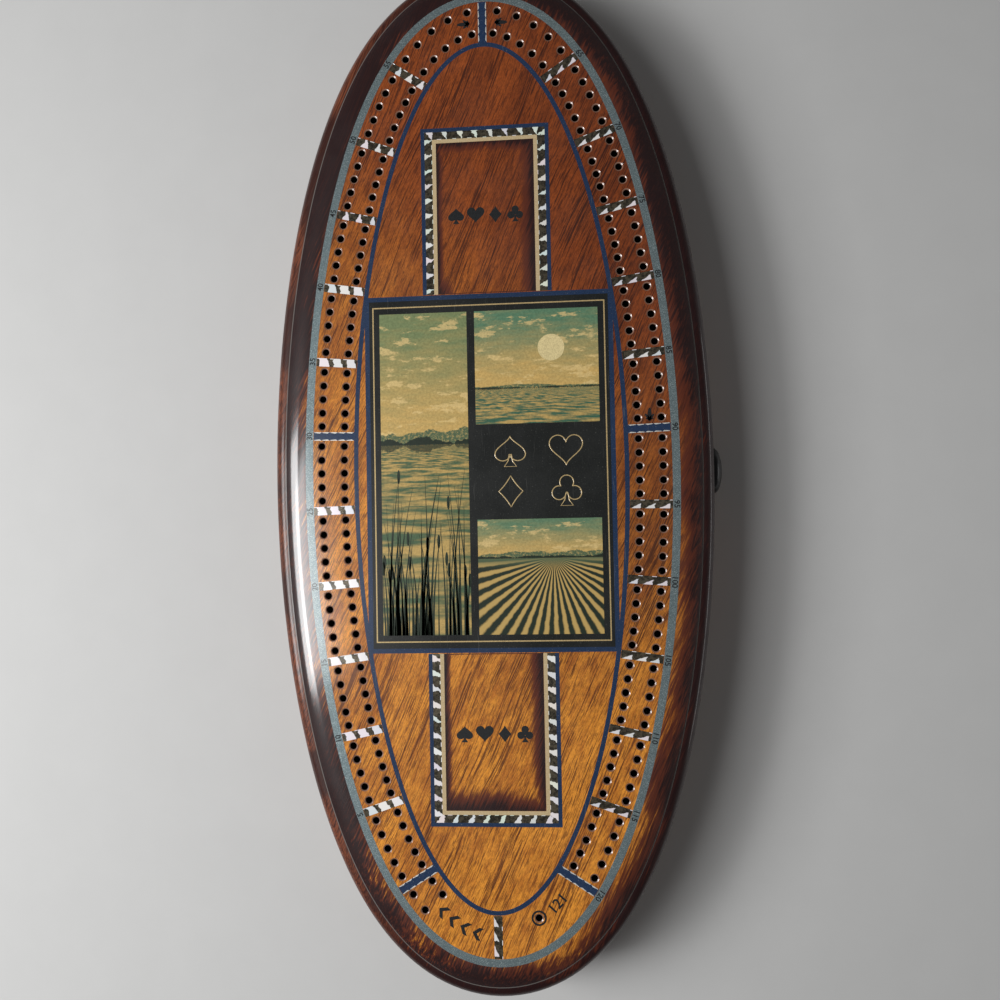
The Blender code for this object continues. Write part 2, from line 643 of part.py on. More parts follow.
def add_drawer_front(wood, steel, black):
    """Add the drawer front, sawn to the case's own curve, with its knob and screw."""
    blank = eased_oval("drawer_front", CASE_OFFSET, DRAWER_Z, DRAWER_TOP_Z, CASE_EDGE_EASE)
    front = add_part("drawer_front", blank, wood)
    low = (FRONT_INNER_X, -DRAWER_WIDTH / 2, DRAWER_Z - CUT_OVERRUN)
    high = (CASE_HALF_WIDTH + CUT_OVERRUN, DRAWER_WIDTH / 2, DRAWER_TOP_Z + CUT_OVERRUN)
    cut(front, add_cutter("front_keeper", box_mesh("front_keeper", low, high)), "INTERSECT")

    outwards = Matrix.Rotation(math.pi / 2, 4, "Y")
    neck, rim = KNOB_NECK_DIAMETER / 2, KNOB_DIAMETER / 2
    shoulder = KNOB_NECK_LENGTH + KNOB_RIM_LENGTH
    profile = []
    for step in range(KNOB_ARC_STEPS + 1):
        turn = math.pi / 2 * step / KNOB_ARC_STEPS
        profile.append((rim * math.sin(turn), shoulder + KNOB_DOME_LENGTH * math.cos(turn)))
    profile += [(rim, KNOB_NECK_LENGTH + KNOB_RIM_LENGTH / 2), (neck, KNOB_NECK_LENGTH), (neck, 0), (0, 0)]
    seat = Matrix.Translation((CASE_HALF_WIDTH + TOUCH_GAP, 0, KNOB_Z)) @ outwards
    knob = add_part("drawer_knob", turned_mesh("drawer_knob", profile, KNOB_SIDES), black, seat)
    smooth(knob)

    radius, head = SCREW_DIAMETER / 2, KNOB_SCREW_HEAD_DIAMETER / 2
    reach = KNOB_SCREW_HEAD_LENGTH + TOUCH_GAP + DRAWER_FRONT_THICKNESS + TOUCH_GAP + KNOB_SCREW_GRIP
    profile = [(0, reach), (radius, reach), (radius, KNOB_SCREW_HEAD_LENGTH), (head, KNOB_SCREW_HEAD_LENGTH),
               (head, 0), (0, 0)]
    seat = Matrix.Translation((FRONT_INNER_X - TOUCH_GAP - KNOB_SCREW_HEAD_LENGTH, 0, KNOB_Z)) @ outwards
    screw = add_part("knob_screw", turned_mesh("knob_screw", profile, SCREW_SIDES), steel, seat)
    smooth(screw)
    bore = radius + TOUCH_GAP
    profile = [(0, reach + TOUCH_GAP), (bore, reach + TOUCH_GAP), (bore, 0), (0, 0)]
    turned = turned_mesh("knob_screw_cutter", profile, SCREW_SIDES)
    cutter = add_cutter("knob_screw_cutter", copies_mesh("knob_screw_cutter", turned, [seat]))
    cut(front, cutter)
    cut(knob, cutter)
    return [front, knob, screw]


def add_drawer_box(ply):
    """Add the drawer's floor, sides, tall back and the dividers of its bays."""
    half, inner = DRAWER_WIDTH / 2, DRAWER_INNER_HALF_WIDTH
    inside = inner - TOUCH_GAP
    bay_middle = DIVIDER_THICKNESS / 2
    boards = {
        "drawer_bottom": ((DRAWER_BACK_X, -half, DRAWER_Z), (WALL_FRONT_X, half, DRAWER_FLOOR_TOP_Z)),
        "drawer_side_left": ((DRAWER_BACK_X, -half, WALL_Z), (WALL_FRONT_X, -inner, WALL_TOP_Z)),
        "drawer_side_right": ((DRAWER_BACK_X, inner, WALL_Z), (WALL_FRONT_X, half, WALL_TOP_Z)),
        "drawer_back": ((DRAWER_BACK_X, -inside, WALL_Z), (BAY_BACK_X, inside, DRAWER_TOP_Z)),
        "trough_divider": ((BAY_FRONT_X, -inside, WALL_Z), (TROUGH_BACK_X, inside, WALL_TOP_Z)),
        "card_divider": ((BAY_BACK_X + TOUCH_GAP, -bay_middle, WALL_Z),
                         (BAY_FRONT_X - TOUCH_GAP, bay_middle, WALL_TOP_Z)),
    }
    boxes = []
    for name, (low, high) in boards.items():
        boxes.append(add_part(name, box_mesh(name, low, high), ply))
        ease_edges(boxes[-1], EDGE_EASE)
    return boxes


def add_pegs(name, material, side):
    """Add one colour of pegs, lying across the trough on one side of its middle."""
    head, neck, tip = PEG_HEAD_DIAMETER / 2, PEG_NECK_DIAMETER / 2, PEG_TIP_DIAMETER / 2
    profile = [(0, PEG_LENGTH), (head, PEG_LENGTH), (neck, PEG_LENGTH - PEG_HEAD_LENGTH), (tip, 0), (0, 0)]
    height = DRAWER_FLOOR_TOP_Z + TOUCH_GAP + head
    lay = Matrix.Rotation(-side * math.pi / 2, 4, "X")
    first = TROUGH_BACK_X + PEG_TROUGH_MARGIN
    mesh = turned_mesh(name, profile, PEG_SIDES)
    pegs = []
    for index in range(PEGS_A_COLOUR):
        place = Matrix.Translation((first + PEG_PITCH * index, side * PEG_END_MARGIN, height)) @ lay
        pegs.append(add_part(f"{name}_{index + 1}", mesh, material, place))
        smooth(pegs[-1])
    return pegs


def hang_on_slide(pieces):
    """Parent the drawer's pieces to an empty on the axis that it slides along."""
    slide = bpy.data.objects.new("drawer_slide", None)
    slide.location = (CASE_HALF_WIDTH, 0, KNOB_Z)
    parts.objects.link(slide)
    bpy.context.view_layer.update()
    for piece in pieces:
        piece.parent = slide
        piece.matrix_parent_inverse = slide.matrix_world.inverted()


def build():
    """Build the whole board."""
    for existing in list(bpy.data.objects):
        bpy.data.objects.remove(existing)
    bpy.context.scene.collection.children.link(parts)
    bpy.context.scene.collection.children.link(cutters)

    burnt_wood = make_material("burnt_wood", BURNT_WOOD_SHARES, 0.15)
    case_wood = make_material("case_wood", BURNT_WOOD_SHARES, 0.25)
    front_wood = make_material("drawer_front_wood", HONEY_WOOD_SHARES, 0.2)
    ply = make_material("pale_ply", PALE_PLY_SHARES, 0.6)
    silver = make_material("silver_film", SILVER_SHARES, 0.35, 0.4)
    blue = make_material("blue_film", BLUE_SHARES, 0.3)
    foil = make_material("prismatic_foil", FOIL_SHARES, 0.15, 1.0)
    cream = make_material("cream_film", CREAM_SHARES, 0.35)
    black = make_material("black_film", BLACK_SHARES, 0.25)
    black_paint = make_material("black_paint", BLACK_SHARES, 0.3)
    steel = make_material("zinc_steel", STEEL_SHARES, 0.35, 1.0)
    felt = make_material("green_felt", FELT_SHARES, 0.95)
    peg_light = make_material("peg_maple", PEG_LIGHT_SHARES, 0.45)
    peg_dark = make_material("peg_walnut", PEG_DARK_SHARES, 0.45)

    top = add_playing_top(burnt_wood)
    add_track_inlays(silver, blue, foil)
    add_centre_panel(blue, black)
    add_frames(blue, foil, cream)
    block, bottom = add_case(case_wood, ply, felt)
    add_stop_strip(ply)
    add_case_screws(steel, top, block, bottom)
    drawer = add_drawer_front(front_wood, steel, black_paint)
    drawer += add_drawer_box(ply)
    drawer += add_pegs("light_peg", peg_light, -1)
    drawer += add_pegs("dark_peg", peg_dark, 1)
    hang_on_slide(drawer)
    print(f"drawer travel {DRAWER_TRAVEL / MM:.2f} mm, face height {FACE_Z / MM:.2f} mm")


build()
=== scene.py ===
"""Looks of an oval cribbage board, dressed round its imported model.

A thick oval top of torch-burnt, varnished wood carries inlaid film: a silver score ring,
a blue oval, glinting foil bars and two card frames round a printed panel. Under it lies
an oval case with a drawer that slides out towards +X. +Y is the end where the track turns
half way and +Z is up. Lengths are in metres.
"""

import bisect
import functools
import logging
import math
import random
from dataclasses import dataclass, field
from enum import Enum
from itertools import pairwise
from typing import Callable, Iterable, Sequence

import bmesh
import bpy
from bpy.types import Material, Mesh, Node, NodeSocket, NodeTree, Object
from mathutils import Matrix, Vector


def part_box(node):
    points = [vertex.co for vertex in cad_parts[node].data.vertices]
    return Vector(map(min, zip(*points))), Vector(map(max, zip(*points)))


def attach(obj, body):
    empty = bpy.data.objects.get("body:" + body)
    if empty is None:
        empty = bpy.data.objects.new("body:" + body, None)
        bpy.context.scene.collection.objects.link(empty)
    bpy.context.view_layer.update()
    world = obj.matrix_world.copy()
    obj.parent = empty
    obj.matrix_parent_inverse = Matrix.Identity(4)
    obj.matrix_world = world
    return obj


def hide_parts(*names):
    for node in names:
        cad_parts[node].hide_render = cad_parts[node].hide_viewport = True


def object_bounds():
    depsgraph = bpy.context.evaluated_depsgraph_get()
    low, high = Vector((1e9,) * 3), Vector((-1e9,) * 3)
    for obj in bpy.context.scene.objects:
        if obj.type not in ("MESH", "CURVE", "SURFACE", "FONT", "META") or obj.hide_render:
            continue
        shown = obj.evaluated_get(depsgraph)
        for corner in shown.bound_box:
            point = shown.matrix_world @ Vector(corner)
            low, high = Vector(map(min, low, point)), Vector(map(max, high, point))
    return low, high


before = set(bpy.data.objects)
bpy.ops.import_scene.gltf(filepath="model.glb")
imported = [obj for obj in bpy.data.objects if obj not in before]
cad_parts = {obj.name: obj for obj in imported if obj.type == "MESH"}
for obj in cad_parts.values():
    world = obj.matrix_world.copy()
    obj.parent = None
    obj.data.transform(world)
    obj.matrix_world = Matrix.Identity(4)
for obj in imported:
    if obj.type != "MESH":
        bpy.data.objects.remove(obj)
CAD_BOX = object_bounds()

LOG = logging.getLogger("cribbage_board")
MM = 0.001
STRIP_MAP = "strip"
VECTOR_INPUTS = ("Place", "Strip")
MERGE_DISTANCE = 0.002 * MM
CREASE = 35.0
FONT_HEIGHT_SHARE = 0.7
FONT_WEIGHT = 0.025
WIRE_FLATNESS = 0.2

Colour = tuple[float, float, float]
Outline = Sequence[Vector]
Value = "NodeSocket | float | Sequence[float]"
Sockets = dict[str, NodeSocket]
Effect = Callable[[], NodeTree]
Wiring = Callable[["Graph", Sockets], Sockets]


class Body(Enum):
    """The two bodies that pieces ride on."""

    CASE = "case"
    DRAWER = "drawer"


class Suit(Enum):
    """The card suits that stand on the board as plain pips."""

    SPADE = "spade"
    HEART = "heart"
    DIAMOND = "diamond"
    CLUB = "club"


class BarLight(Enum):
    """How much painted glint the facets of a foil bar carry, set by where the bar lies towards the lamps:
    their share, their taper and their ramp.
    """

    LEFT = (0.62, 0.2, 0.0)
    FAR = (0.44, 0.75, 0.0)
    RIGHT = (0.66, 0.2, 1.0)


def display(red: int, green: int, blue: int) -> Colour:
    """Turn a colour as a screen shows it into a linear one.

    Args:
        red: Red from 0 to 255.
        green: Green from 0 to 255.
        blue: Blue from 0 to 255.

    Returns:
        The same colour in linear shares.
    """
    shares = [level / 255 for level in (red, green, blue)]
    return tuple(s / 12.92 if s <= 0.04045 else ((s + 0.055) / 1.055) ** 2.4 for s in shares)


def spokes(count: int) -> list[Vector]:
    """Return even unit vectors all round, anticlockwise from +X."""
    turns = [math.tau * step / count for step in range(count)]
    return [Vector((math.cos(turn), math.sin(turn))) for turn in turns]


@dataclass(frozen=True)
class BoardOval:
    """The blue oval that every curve of the board runs parallel to.

    The angle of a point runs from the +Y end towards +X, and an offset is a distance outside the oval.
    """

    half_width: float
    half_length: float
    steps: int = 256

    def point(self, angle: float, offset: float) -> tuple[Vector, Vector]:
        """Find a point beside the oval.

        Args:
            angle: Where the point lies round the oval.
            offset: How far outside the oval it lies.

        Returns:
            The point and the outward normal there, both flat.
        """
        sine, cosine = math.sin(angle), math.cos(angle)
        normal = Vector((sine / self.half_width, cosine / self.half_length)).normalized()
        point = Vector((self.half_width * sine, self.half_length * cosine))
        return point + normal * offset, normal

    def ring(self, offset: float) -> list[Vector]:
        """Return a closed parallel curve, anticlockwise from above."""
        return [self.point(-math.tau * step / self.steps, offset)[0] for step in range(self.steps)]

    def runs(self, offset: float) -> list[float]:
        """Return how far along a parallel curve each of its points lies, with its whole length last.

        Args:
            offset: How far outside the oval the curve lies.

        Returns:
            The runs.
        """
        ring = self.ring(offset)
        runs = [0.0]
        for before, after in zip(ring, ring[1:] + ring[:1]):
            runs.append(runs[-1] + (after - before).length)
        return runs


@dataclass(frozen=True)
class PegTrack:
    """The track of peg holes: two rows beside the oval, in fives between bars."""

    oval: BoardOval
    inner_row: float = 4.5 * MM
    outer_row: float = 15.0 * MM
    ring_offset: float = 19.0 * MM
    ring_width: float = 3.5 * MM
    first_spans: tuple[float, float] = (43.6 * MM, 35.6 * MM)
    last_span: float = 35.8 * MM
    start_span: float = 45.4 * MM
    groups_a_side: int = 12
    groups_a_street: int = 6
    holes_a_group: int = 5
    first_hole_share: float = 0.134
    pitch_share: float = 0.183
    start_hole_run: float = 4.1 * MM
    start_hole_pitch: float = 8.0 * MM
    home_run: float = 24.4 * MM
    home_offset: float = 7.2 * MM
    start_hole_pairs: int = 2
    fine_steps: int = 4000

    @functools.cached_property
    def middle_line(self) -> list[float]:
        """How far along the middle of the track many even angles lie, from the +Y end.

        Returns:
            The runs.
        """
        points = [self.oval.point(math.pi * step / self.fine_steps, self.ring_offset / 2)[0]
                  for step in range(self.fine_steps + 1)]
        runs = [0.0]
        for before, after in pairwise(points):
            runs.append(runs[-1] + (after - before).length)
        return runs

    def angle_at(self, run: float) -> float:
        """Return the oval angle at a run along the middle of the track."""
        return math.pi * bisect.bisect_left(self.middle_line, run) / (len(self.middle_line) - 1)

    @functools.cached_property
    def bar_runs(self) -> list[float]:
        """The run of each bar, from the halfway bar to the last.

        Returns:
            The runs.
        """
        fixed = [*self.first_spans, self.last_span]
        rest = self.middle_line[-1] - self.start_span - sum(fixed)
        count = self.groups_a_side - len(fixed)
        runs = [0.0]
        for span in [*self.first_spans, *[rest / count] * count, self.last_span]:
            runs.append(runs[-1] + span)
        return runs

    def bars(self) -> list[tuple[int, float, bool]]:
        """Return the score, the signed angle and whether it ends a street, for each bar.

        Returns:
            The bars, from the halfway one outwards.
        """
        halfway = self.groups_a_side * self.holes_a_group
        found = []
        for index, run in enumerate(self.bar_runs):
            for side in (-1, 1) if index else (1,):
                score = halfway + side * index * self.holes_a_group
                found.append((score, side * self.angle_at(run), index % self.groups_a_street == 0))
        return found

    def holes(self) -> list[Vector]:
        """Return the middle of every peg hole: both streets, the start holes and the home hole.

        Returns:
            The flat places.
        """
        places = []
        for start, end in pairwise(self.bar_runs):
            for index in range(self.holes_a_group):
                share = self.first_hole_share + self.pitch_share * index
                angle = self.angle_at(start + (end - start) * share)
                for row in (self.inner_row, self.outer_row):
                    places += [self.oval.point(side * angle, row)[0] for side in (-1, 1)]
        for index in range(self.start_hole_pairs):
            angle = self.angle_at(self.bar_runs[-1] + self.start_hole_run + self.start_hole_pitch * index)
            places += [self.oval.point(-angle, row)[0] for row in (self.inner_row, self.outer_row)]
        places.append(self.home_hole())
        return places

    def home_hole(self) -> Vector:
        """Return the middle of the home hole."""
        return self.oval.point(self.angle_at(self.bar_runs[-1] + self.home_run), self.home_offset)[0]

    def frame_at(self, angle: float, offset: float, height: float) -> Matrix:
        """Find a place beside the oval whose X runs clockwise round the board and whose Y points outwards.

        Args:
            angle: Where it lies round the oval.
            offset: How far outside the oval.
            height: How high.

        Returns:
            The place.
        """
        point, normal = self.oval.point(angle, offset)
        turn = Matrix.Rotation(math.atan2(normal.y, normal.x) - math.pi / 2, 4, "Z")
        return Matrix.Translation((point.x, point.y, height)) @ turn


class Draft:
    """A mesh in the making, with a map that gives each corner its place along and across a strip."""

    def __init__(self) -> None:
        """Start an empty mesh."""
        self.cage = bmesh.new()
        self.strip = self.cage.loops.layers.uv.new(STRIP_MAP)

    def ring(self, points: Iterable[Vector], height: float) -> list[bmesh.types.BMVert]:
        """Add a closed ring of points at one height."""
        return [self.cage.verts.new((point.x, point.y, height)) for point in points]

    def face(self, corners: Sequence[bmesh.types.BMVert], places: Sequence[Sequence[float]] = (),
             slot: int = 0) -> None:
        """Add one face.

        Args:
            corners: Its corners, anticlockwise from outside.
            places: How far along and across the strip each corner lies.
            slot: Its material's place on the object.
        """
        made = self.cage.faces.new(corners)
        made.material_index = slot
        for loop, place in zip(made.loops, places):
            loop[self.strip].uv = place

    def band(self, lower: Sequence[bmesh.types.BMVert], upper: Sequence[bmesh.types.BMVert],
             runs: Sequence[float], across: tuple[float, float], slot: int = 0) -> None:
        """Add the faces between two closed rings.

        Args:
            lower: The ring at each face's first edge.
            upper: The ring at its other edge.
            runs: How far along each point lies, with the whole length last.
            across: How far across the two rings lie.
            slot: The material's place on the object.
        """
        for index in range(len(lower)):
            after = (index + 1) % len(lower)
            places = [(runs[index], across[0]), (runs[index + 1], across[0]),
                      (runs[index + 1], across[1]), (runs[index], across[1])]
            self.face((lower[index], lower[after], upper[after], upper[index]), places, slot)

    def slab(self, corners: Sequence[tuple[float, float]], levels: tuple[float, float],
             places: Sequence[Sequence[float]], place: Matrix = Matrix()) -> None:
        """Add a flat film with upright sides.

        Args:
            corners: Its outline, anticlockwise from above.
            levels: The heights of its underside and its upper side.
            places: How far along and across the strip each corner lies.
            place: Where the film lies.
        """
        low, high = [[self.cage.verts.new(place @ Vector((x, y, height))) for x, y in corners]
                     for height in levels]
        self.face(high, places)
        self.face(low[::-1], places[::-1])
        for index in range(len(corners)):
            after = (index + 1) % len(corners)
            self.face((low[index], low[after], high[after], high[index]),
                      [places[index], places[after], places[after], places[index]])

    def absorb(self, mesh: Mesh, place: Matrix = Matrix(), slot: int = 0) -> None:
        """Add a copy of another mesh at a place.

        Args:
            mesh: The mesh.
            place: Where its copy goes.
            slot: The copy's material's place on the object.
        """
        vertex_count, face_count = len(self.cage.verts), len(self.cage.faces)
        self.cage.from_mesh(mesh)
        self.cage.verts.ensure_lookup_table()
        self.cage.faces.ensure_lookup_table()
        bmesh.ops.transform(self.cage, matrix=place, verts=self.cage.verts[vertex_count:])
        for made in self.cage.faces[face_count:]:
            made.material_index = slot

    def mesh(self, crease: float = CREASE, merge: bool = True) -> Mesh:
        """Close the draft and turn it into a mesh.

        Args:
            crease: The angle in degrees above which an edge stays sharp.
            merge: Whether points that meet become one.

        Returns:
            The mesh, shaded smooth between its sharp edges.
        """
        if merge:
            bmesh.ops.remove_doubles(self.cage, verts=self.cage.verts, dist=MERGE_DISTANCE)
        bmesh.ops.recalc_face_normals(self.cage, faces=self.cage.faces)
        made = bpy.data.meshes.new("draft")
        self.cage.to_mesh(made)
        self.cage.free()
        made.shade_smooth()
        made.set_sharp_from_angle(angle=math.radians(crease))
        return made


def evaluated_mesh(source: Object) -> Mesh:
    """Return what an object shows as a mesh, and remove the object.

    Args:
        source: The object.

    Returns:
        Its mesh.
    """
    bpy.context.scene.collection.objects.link(source)
    bpy.context.view_layer.update()
    made = bpy.data.meshes.new_from_object(source.evaluated_get(bpy.context.evaluated_depsgraph_get()))
    bpy.data.objects.remove(source)
    return made


def filled(loops: Iterable[Outline], bottom: float, top: float, merge: bool = True) -> Mesh:
    """Fill closed outlines, with inner ones as holes, and extrude them between two heights.

    Args:
        loops: The outlines.
        bottom: The lower height.
        top: The upper height.
        merge: Whether the caps are joined to the sides.

    Returns:
        The filled mesh.
    """
    curve = bpy.data.curves.new("outline", "CURVE")
    curve.dimensions = "2D"
    curve.fill_mode = "BOTH"
    curve.extrude = (top - bottom) / 2
    for loop in loops:
        spline = curve.splines.new("POLY")
        spline.points.add(len(loop) - 1)
        spline.use_cyclic_u = True
        for control, point in zip(spline.points, loop):
            control.co = (point[0], point[1], 0, 1)
    plain = evaluated_mesh(bpy.data.objects.new("outline", curve))
    draft = Draft()
    draft.absorb(plain, Matrix.Translation((0, 0, (top + bottom) / 2)))
    return draft.mesh(merge=merge)


def oval_slab(oval: BoardOval, profile: Sequence[tuple[float, float]]) -> Mesh:
    """Loft a closed oval through a profile of offset and height pairs, bottom to top.

    Args:
        oval: The oval.
        profile: The pairs.

    Returns:
        The mesh.
    """
    draft = Draft()
    rings = [draft.ring(oval.ring(offset), height) for offset, height in profile]
    runs = oval.runs(profile[0][0])
    for (before, after), (low, high) in zip(pairwise(profile), pairwise(rings)):
        draft.band(low, high, runs, (before[1], after[1]))
    draft.face(rings[0])
    draft.face(rings[-1])
    return draft.mesh()


def turned(profile: Sequence[tuple[float, float]], sides: int, place: Matrix = Matrix()) -> Mesh:
    """Turn a profile of radius and height pairs about Z, with poles where the radius is zero.

    Args:
        profile: The pairs.
        sides: How many sides it has.
        place: Where it goes.

    Returns:
        The mesh.
    """
    draft = Draft()
    rings: list[list[bmesh.types.BMVert]] = []
    for radius, height in profile:
        if radius == 0:
            rings.append([draft.cage.verts.new(place @ Vector((0, 0, height)))])
            continue
        rings.append([draft.cage.verts.new(place @ Vector((radius * spoke.x, radius * spoke.y, height)))
                      for spoke in spokes(sides)])
    for low, high in pairwise(rings):
        for side in range(sides):
            after = (side + 1) % sides
            corners = [low[side % len(low)], low[after % len(low)],
                       high[after % len(high)], high[side % len(high)]]
            draft.face(list(dict.fromkeys(corners)))
    return draft.mesh()


class Graph:
    """A node tree that is being wired."""

    def __init__(self, tree: NodeTree) -> None:
        """Take the tree to wire."""
        self.tree = tree

    def add(self, kind: str, **settings: object) -> Node:
        """Add a shader node of a kind and set its properties.

        Args:
            kind: The kind.
            settings: The properties.

        Returns:
            The node.
        """
        node = self.tree.nodes.new("ShaderNode" + kind)
        for name, value in settings.items():
            setattr(node, name, value)
        return node

    def feed(self, socket: NodeSocket, value: Value) -> None:
        """Link an output to a socket, or set the socket to a constant.

        Args:
            socket: The input.
            value: The output or the constant.
        """
        if isinstance(value, NodeSocket):
            self.tree.links.new(value, socket)
        elif isinstance(value, tuple) and len(value) == 3 and socket.type == "RGBA":
            socket.default_value = (*value, 1.0)
        else:
            socket.default_value = value

    def made(self, kind: str, fed: dict[int | str, Value], output: int | str = 0,
             **settings: object) -> NodeSocket:
        """Add a node, feed its inputs and return one of its outputs.

        Args:
            kind: The node's kind.
            fed: What its inputs are fed, by number or name.
            output: The number or name of the output.
            settings: Its properties.

        Returns:
            The output.
        """
        node = self.add(kind, **settings)
        for key, value in fed.items():
            self.feed(node.inputs[key], value)
        return node.outputs[output]

    def math(self, operation: str, first: Value, second: Value = 0.0) -> NodeSocket:
        """Return the result of a sum on two values."""
        return self.made("Math", {0: first, 1: second}, operation=operation)

    def times(self, first: Value, second: Value) -> NodeSocket:
        """Return the product of two values."""
        return self.math("MULTIPLY", first, second)

    def over(self, first: Value, second: Value) -> NodeSocket:
        """Return the first value divided by the second."""
        return self.math("DIVIDE", first, second)

    def plus(self, first: Value, second: Value) -> NodeSocket:
        """Return the sum of two values."""
        return self.math("ADD", first, second)

    def minus(self, first: Value, second: Value) -> NodeSocket:
        """Return the first value less the second."""
        return self.math("SUBTRACT", first, second)

    def most(self, first: Value, second: Value) -> NodeSocket:
        """Return the greater of two values."""
        return self.math("MAXIMUM", first, second)

    def least(self, first: Value, second: Value) -> NodeSocket:
        """Return the smaller of two values."""
        return self.math("MINIMUM", first, second)

    def vector(self, operation: str, first: Value, second: Value) -> NodeSocket:
        """Return the result of a sum on two vectors."""
        return self.made("VectorMath", {0: first, 1: second}, operation=operation)

    def step(self, value: Value, low: Value, high: Value, start: Value = 0.0,
             end: Value = 1.0) -> NodeSocket:
        """Return a smooth step from start to end while a value goes from low to high."""
        fed = dict(enumerate((value, low, high, start, end)))
        return self.made("MapRange", fed, interpolation_type="SMOOTHSTEP")

    def mix(self, factor: Value, first: Value, second: Value, blend: str = "MIX") -> NodeSocket:
        """Return a mix of two colours, of which the factor is the second one's share."""
        return self.made("Mix", {0: factor, 6: first, 7: second}, 2, data_type="RGBA", blend_type=blend)

    def scaled(self, vector: Value, scale: Value) -> NodeSocket:
        """Return a vector times a scale for each axis."""
        return self.vector("MULTIPLY", vector, scale)

    def shade(self, colour: Value, level: Value) -> NodeSocket:
        """Return a colour times a level."""
        return self.mix(1.0, colour, self.join(level, level, level), "MULTIPLY")

    def noise(self, vector: Value, detail: float = 2.0, roughness: float = 0.5,
              scale: float = 1.0) -> NodeSocket:
        """Return a noise value about one half, with its scale in features to the unit."""
        fed = {"Vector": vector, "Scale": scale, "Detail": detail, "Roughness": roughness}
        return self.made("TexNoise", fed)

    def vector_length(self, vector: Value) -> NodeSocket:
        """Return the length of a vector."""
        return self.made("VectorMath", {0: vector}, "Value", operation="LENGTH")

    def split(self, vector: Value) -> tuple[NodeSocket, ...]:
        """Return the three parts of a vector."""
        return tuple(self.made("SeparateXYZ", {0: vector}).node.outputs)

    def join(self, x: Value, y: Value, z: Value = 0.0) -> NodeSocket:
        """Return a vector made of three parts."""
        return self.made("CombineXYZ", {0: x, 1: y, 2: z})

    def rotated(self, vector: Value, angle: Value) -> NodeSocket:
        """Return a vector turned about Z."""
        return self.made("VectorRotate", {"Vector": vector, "Angle": angle}, rotation_type="Z_AXIS")

    def place(self) -> NodeSocket:
        """Return where a point of the surface lies on its object."""
        return self.add("TexCoord").outputs["Object"]

    def strip(self) -> NodeSocket:
        """Return how far along and across its strip a point lies."""
        return self.add("UVMap", uv_map=STRIP_MAP).outputs[0]

    def use(self, effect: Effect, **fed: Value) -> Sockets:
        """Place a shared effect and feed its sockets.

        Args:
            effect: The effect.
            fed: What each input is fed, its name with underscores for spaces.

        Returns:
            Its outputs by name.
        """
        node = self.add("Group", node_tree=effect())
        for name, value in fed.items():
            self.feed(node.inputs[name.replace("_", " ")], value)
        return dict(node.outputs.items())


class Surface(Graph):
    """The tree of a material, with the inputs of its Principled shader."""

    def __init__(self, material: Material) -> None:
        """Take the material to wire."""
        super().__init__(material.node_tree)
        self.shader = material.node_tree.nodes["Principled BSDF"].inputs

    def lay(self, colour: Value, roughness: Value) -> None:
        """Feed the shader its colour and its roughness."""
        self.feed(self.shader["Base Color"], colour)
        self.feed(self.shader["Roughness"], roughness)

    def lacquer(self, roughness: float = 0.12) -> None:
        """Lay a thick clear coat over the finish.

        Args:
            roughness: The coat's roughness.
        """
        self.shader["Specular IOR Level"].default_value = 0.22
        self.shader["Coat Weight"].default_value = 1.0
        self.shader["Coat Roughness"].default_value = roughness
        self.shader["Coat IOR"].default_value = 1.6

    def bump(self, height: NodeSocket, depth: float) -> None:
        """Raise the surface by a height value times a depth in metres."""
        normal = self.made("Bump", {"Strength": 1.0, "Distance": depth, "Height": height})
        self.feed(self.shader["Normal"], normal)


def shared_effect(name: str, inputs: Sequence[str], outputs: Sequence[str]) -> Callable[[Wiring], Effect]:
    """Make a function that wires a shader node group into one that returns the group, built once.

    Args:
        name: The group's name.
        inputs: The names of its inputs, which are values unless VECTOR_INPUTS has them.
        outputs: The names of its outputs, which are values unless they start with Colour.

    Returns:
        The decorator.
    """

    def decorate(wire: Wiring) -> Effect:
        """Put a wiring function in a cached builder.

        Args:
            wire: Wires the group, from its input sockets by name to its output sockets by name.

        Returns:
            The function that returns the group.
        """

        @functools.cache
        def group() -> NodeTree:
            """Build the group.

            Returns:
                The group.
            """
            tree = bpy.data.node_groups.new(name, "ShaderNodeTree")
            for label in inputs:
                kind = "Vector" if label in VECTOR_INPUTS else "Float"
                tree.interface.new_socket(label, in_out="INPUT", socket_type="NodeSocket" + kind)
            for label in outputs:
                kind = "Color" if label.startswith("Colour") else "Float"
                tree.interface.new_socket(label, in_out="OUTPUT", socket_type="NodeSocket" + kind)
            source = tree.nodes.new("NodeGroupInput")
            results = wire(Graph(tree), {socket.name: socket for socket in source.outputs if socket.name})
            sink = tree.nodes.new("NodeGroupOutput")
            for label, socket in results.items():
                tree.links.new(socket, sink.inputs[label])
            return tree

        return group

    return decorate


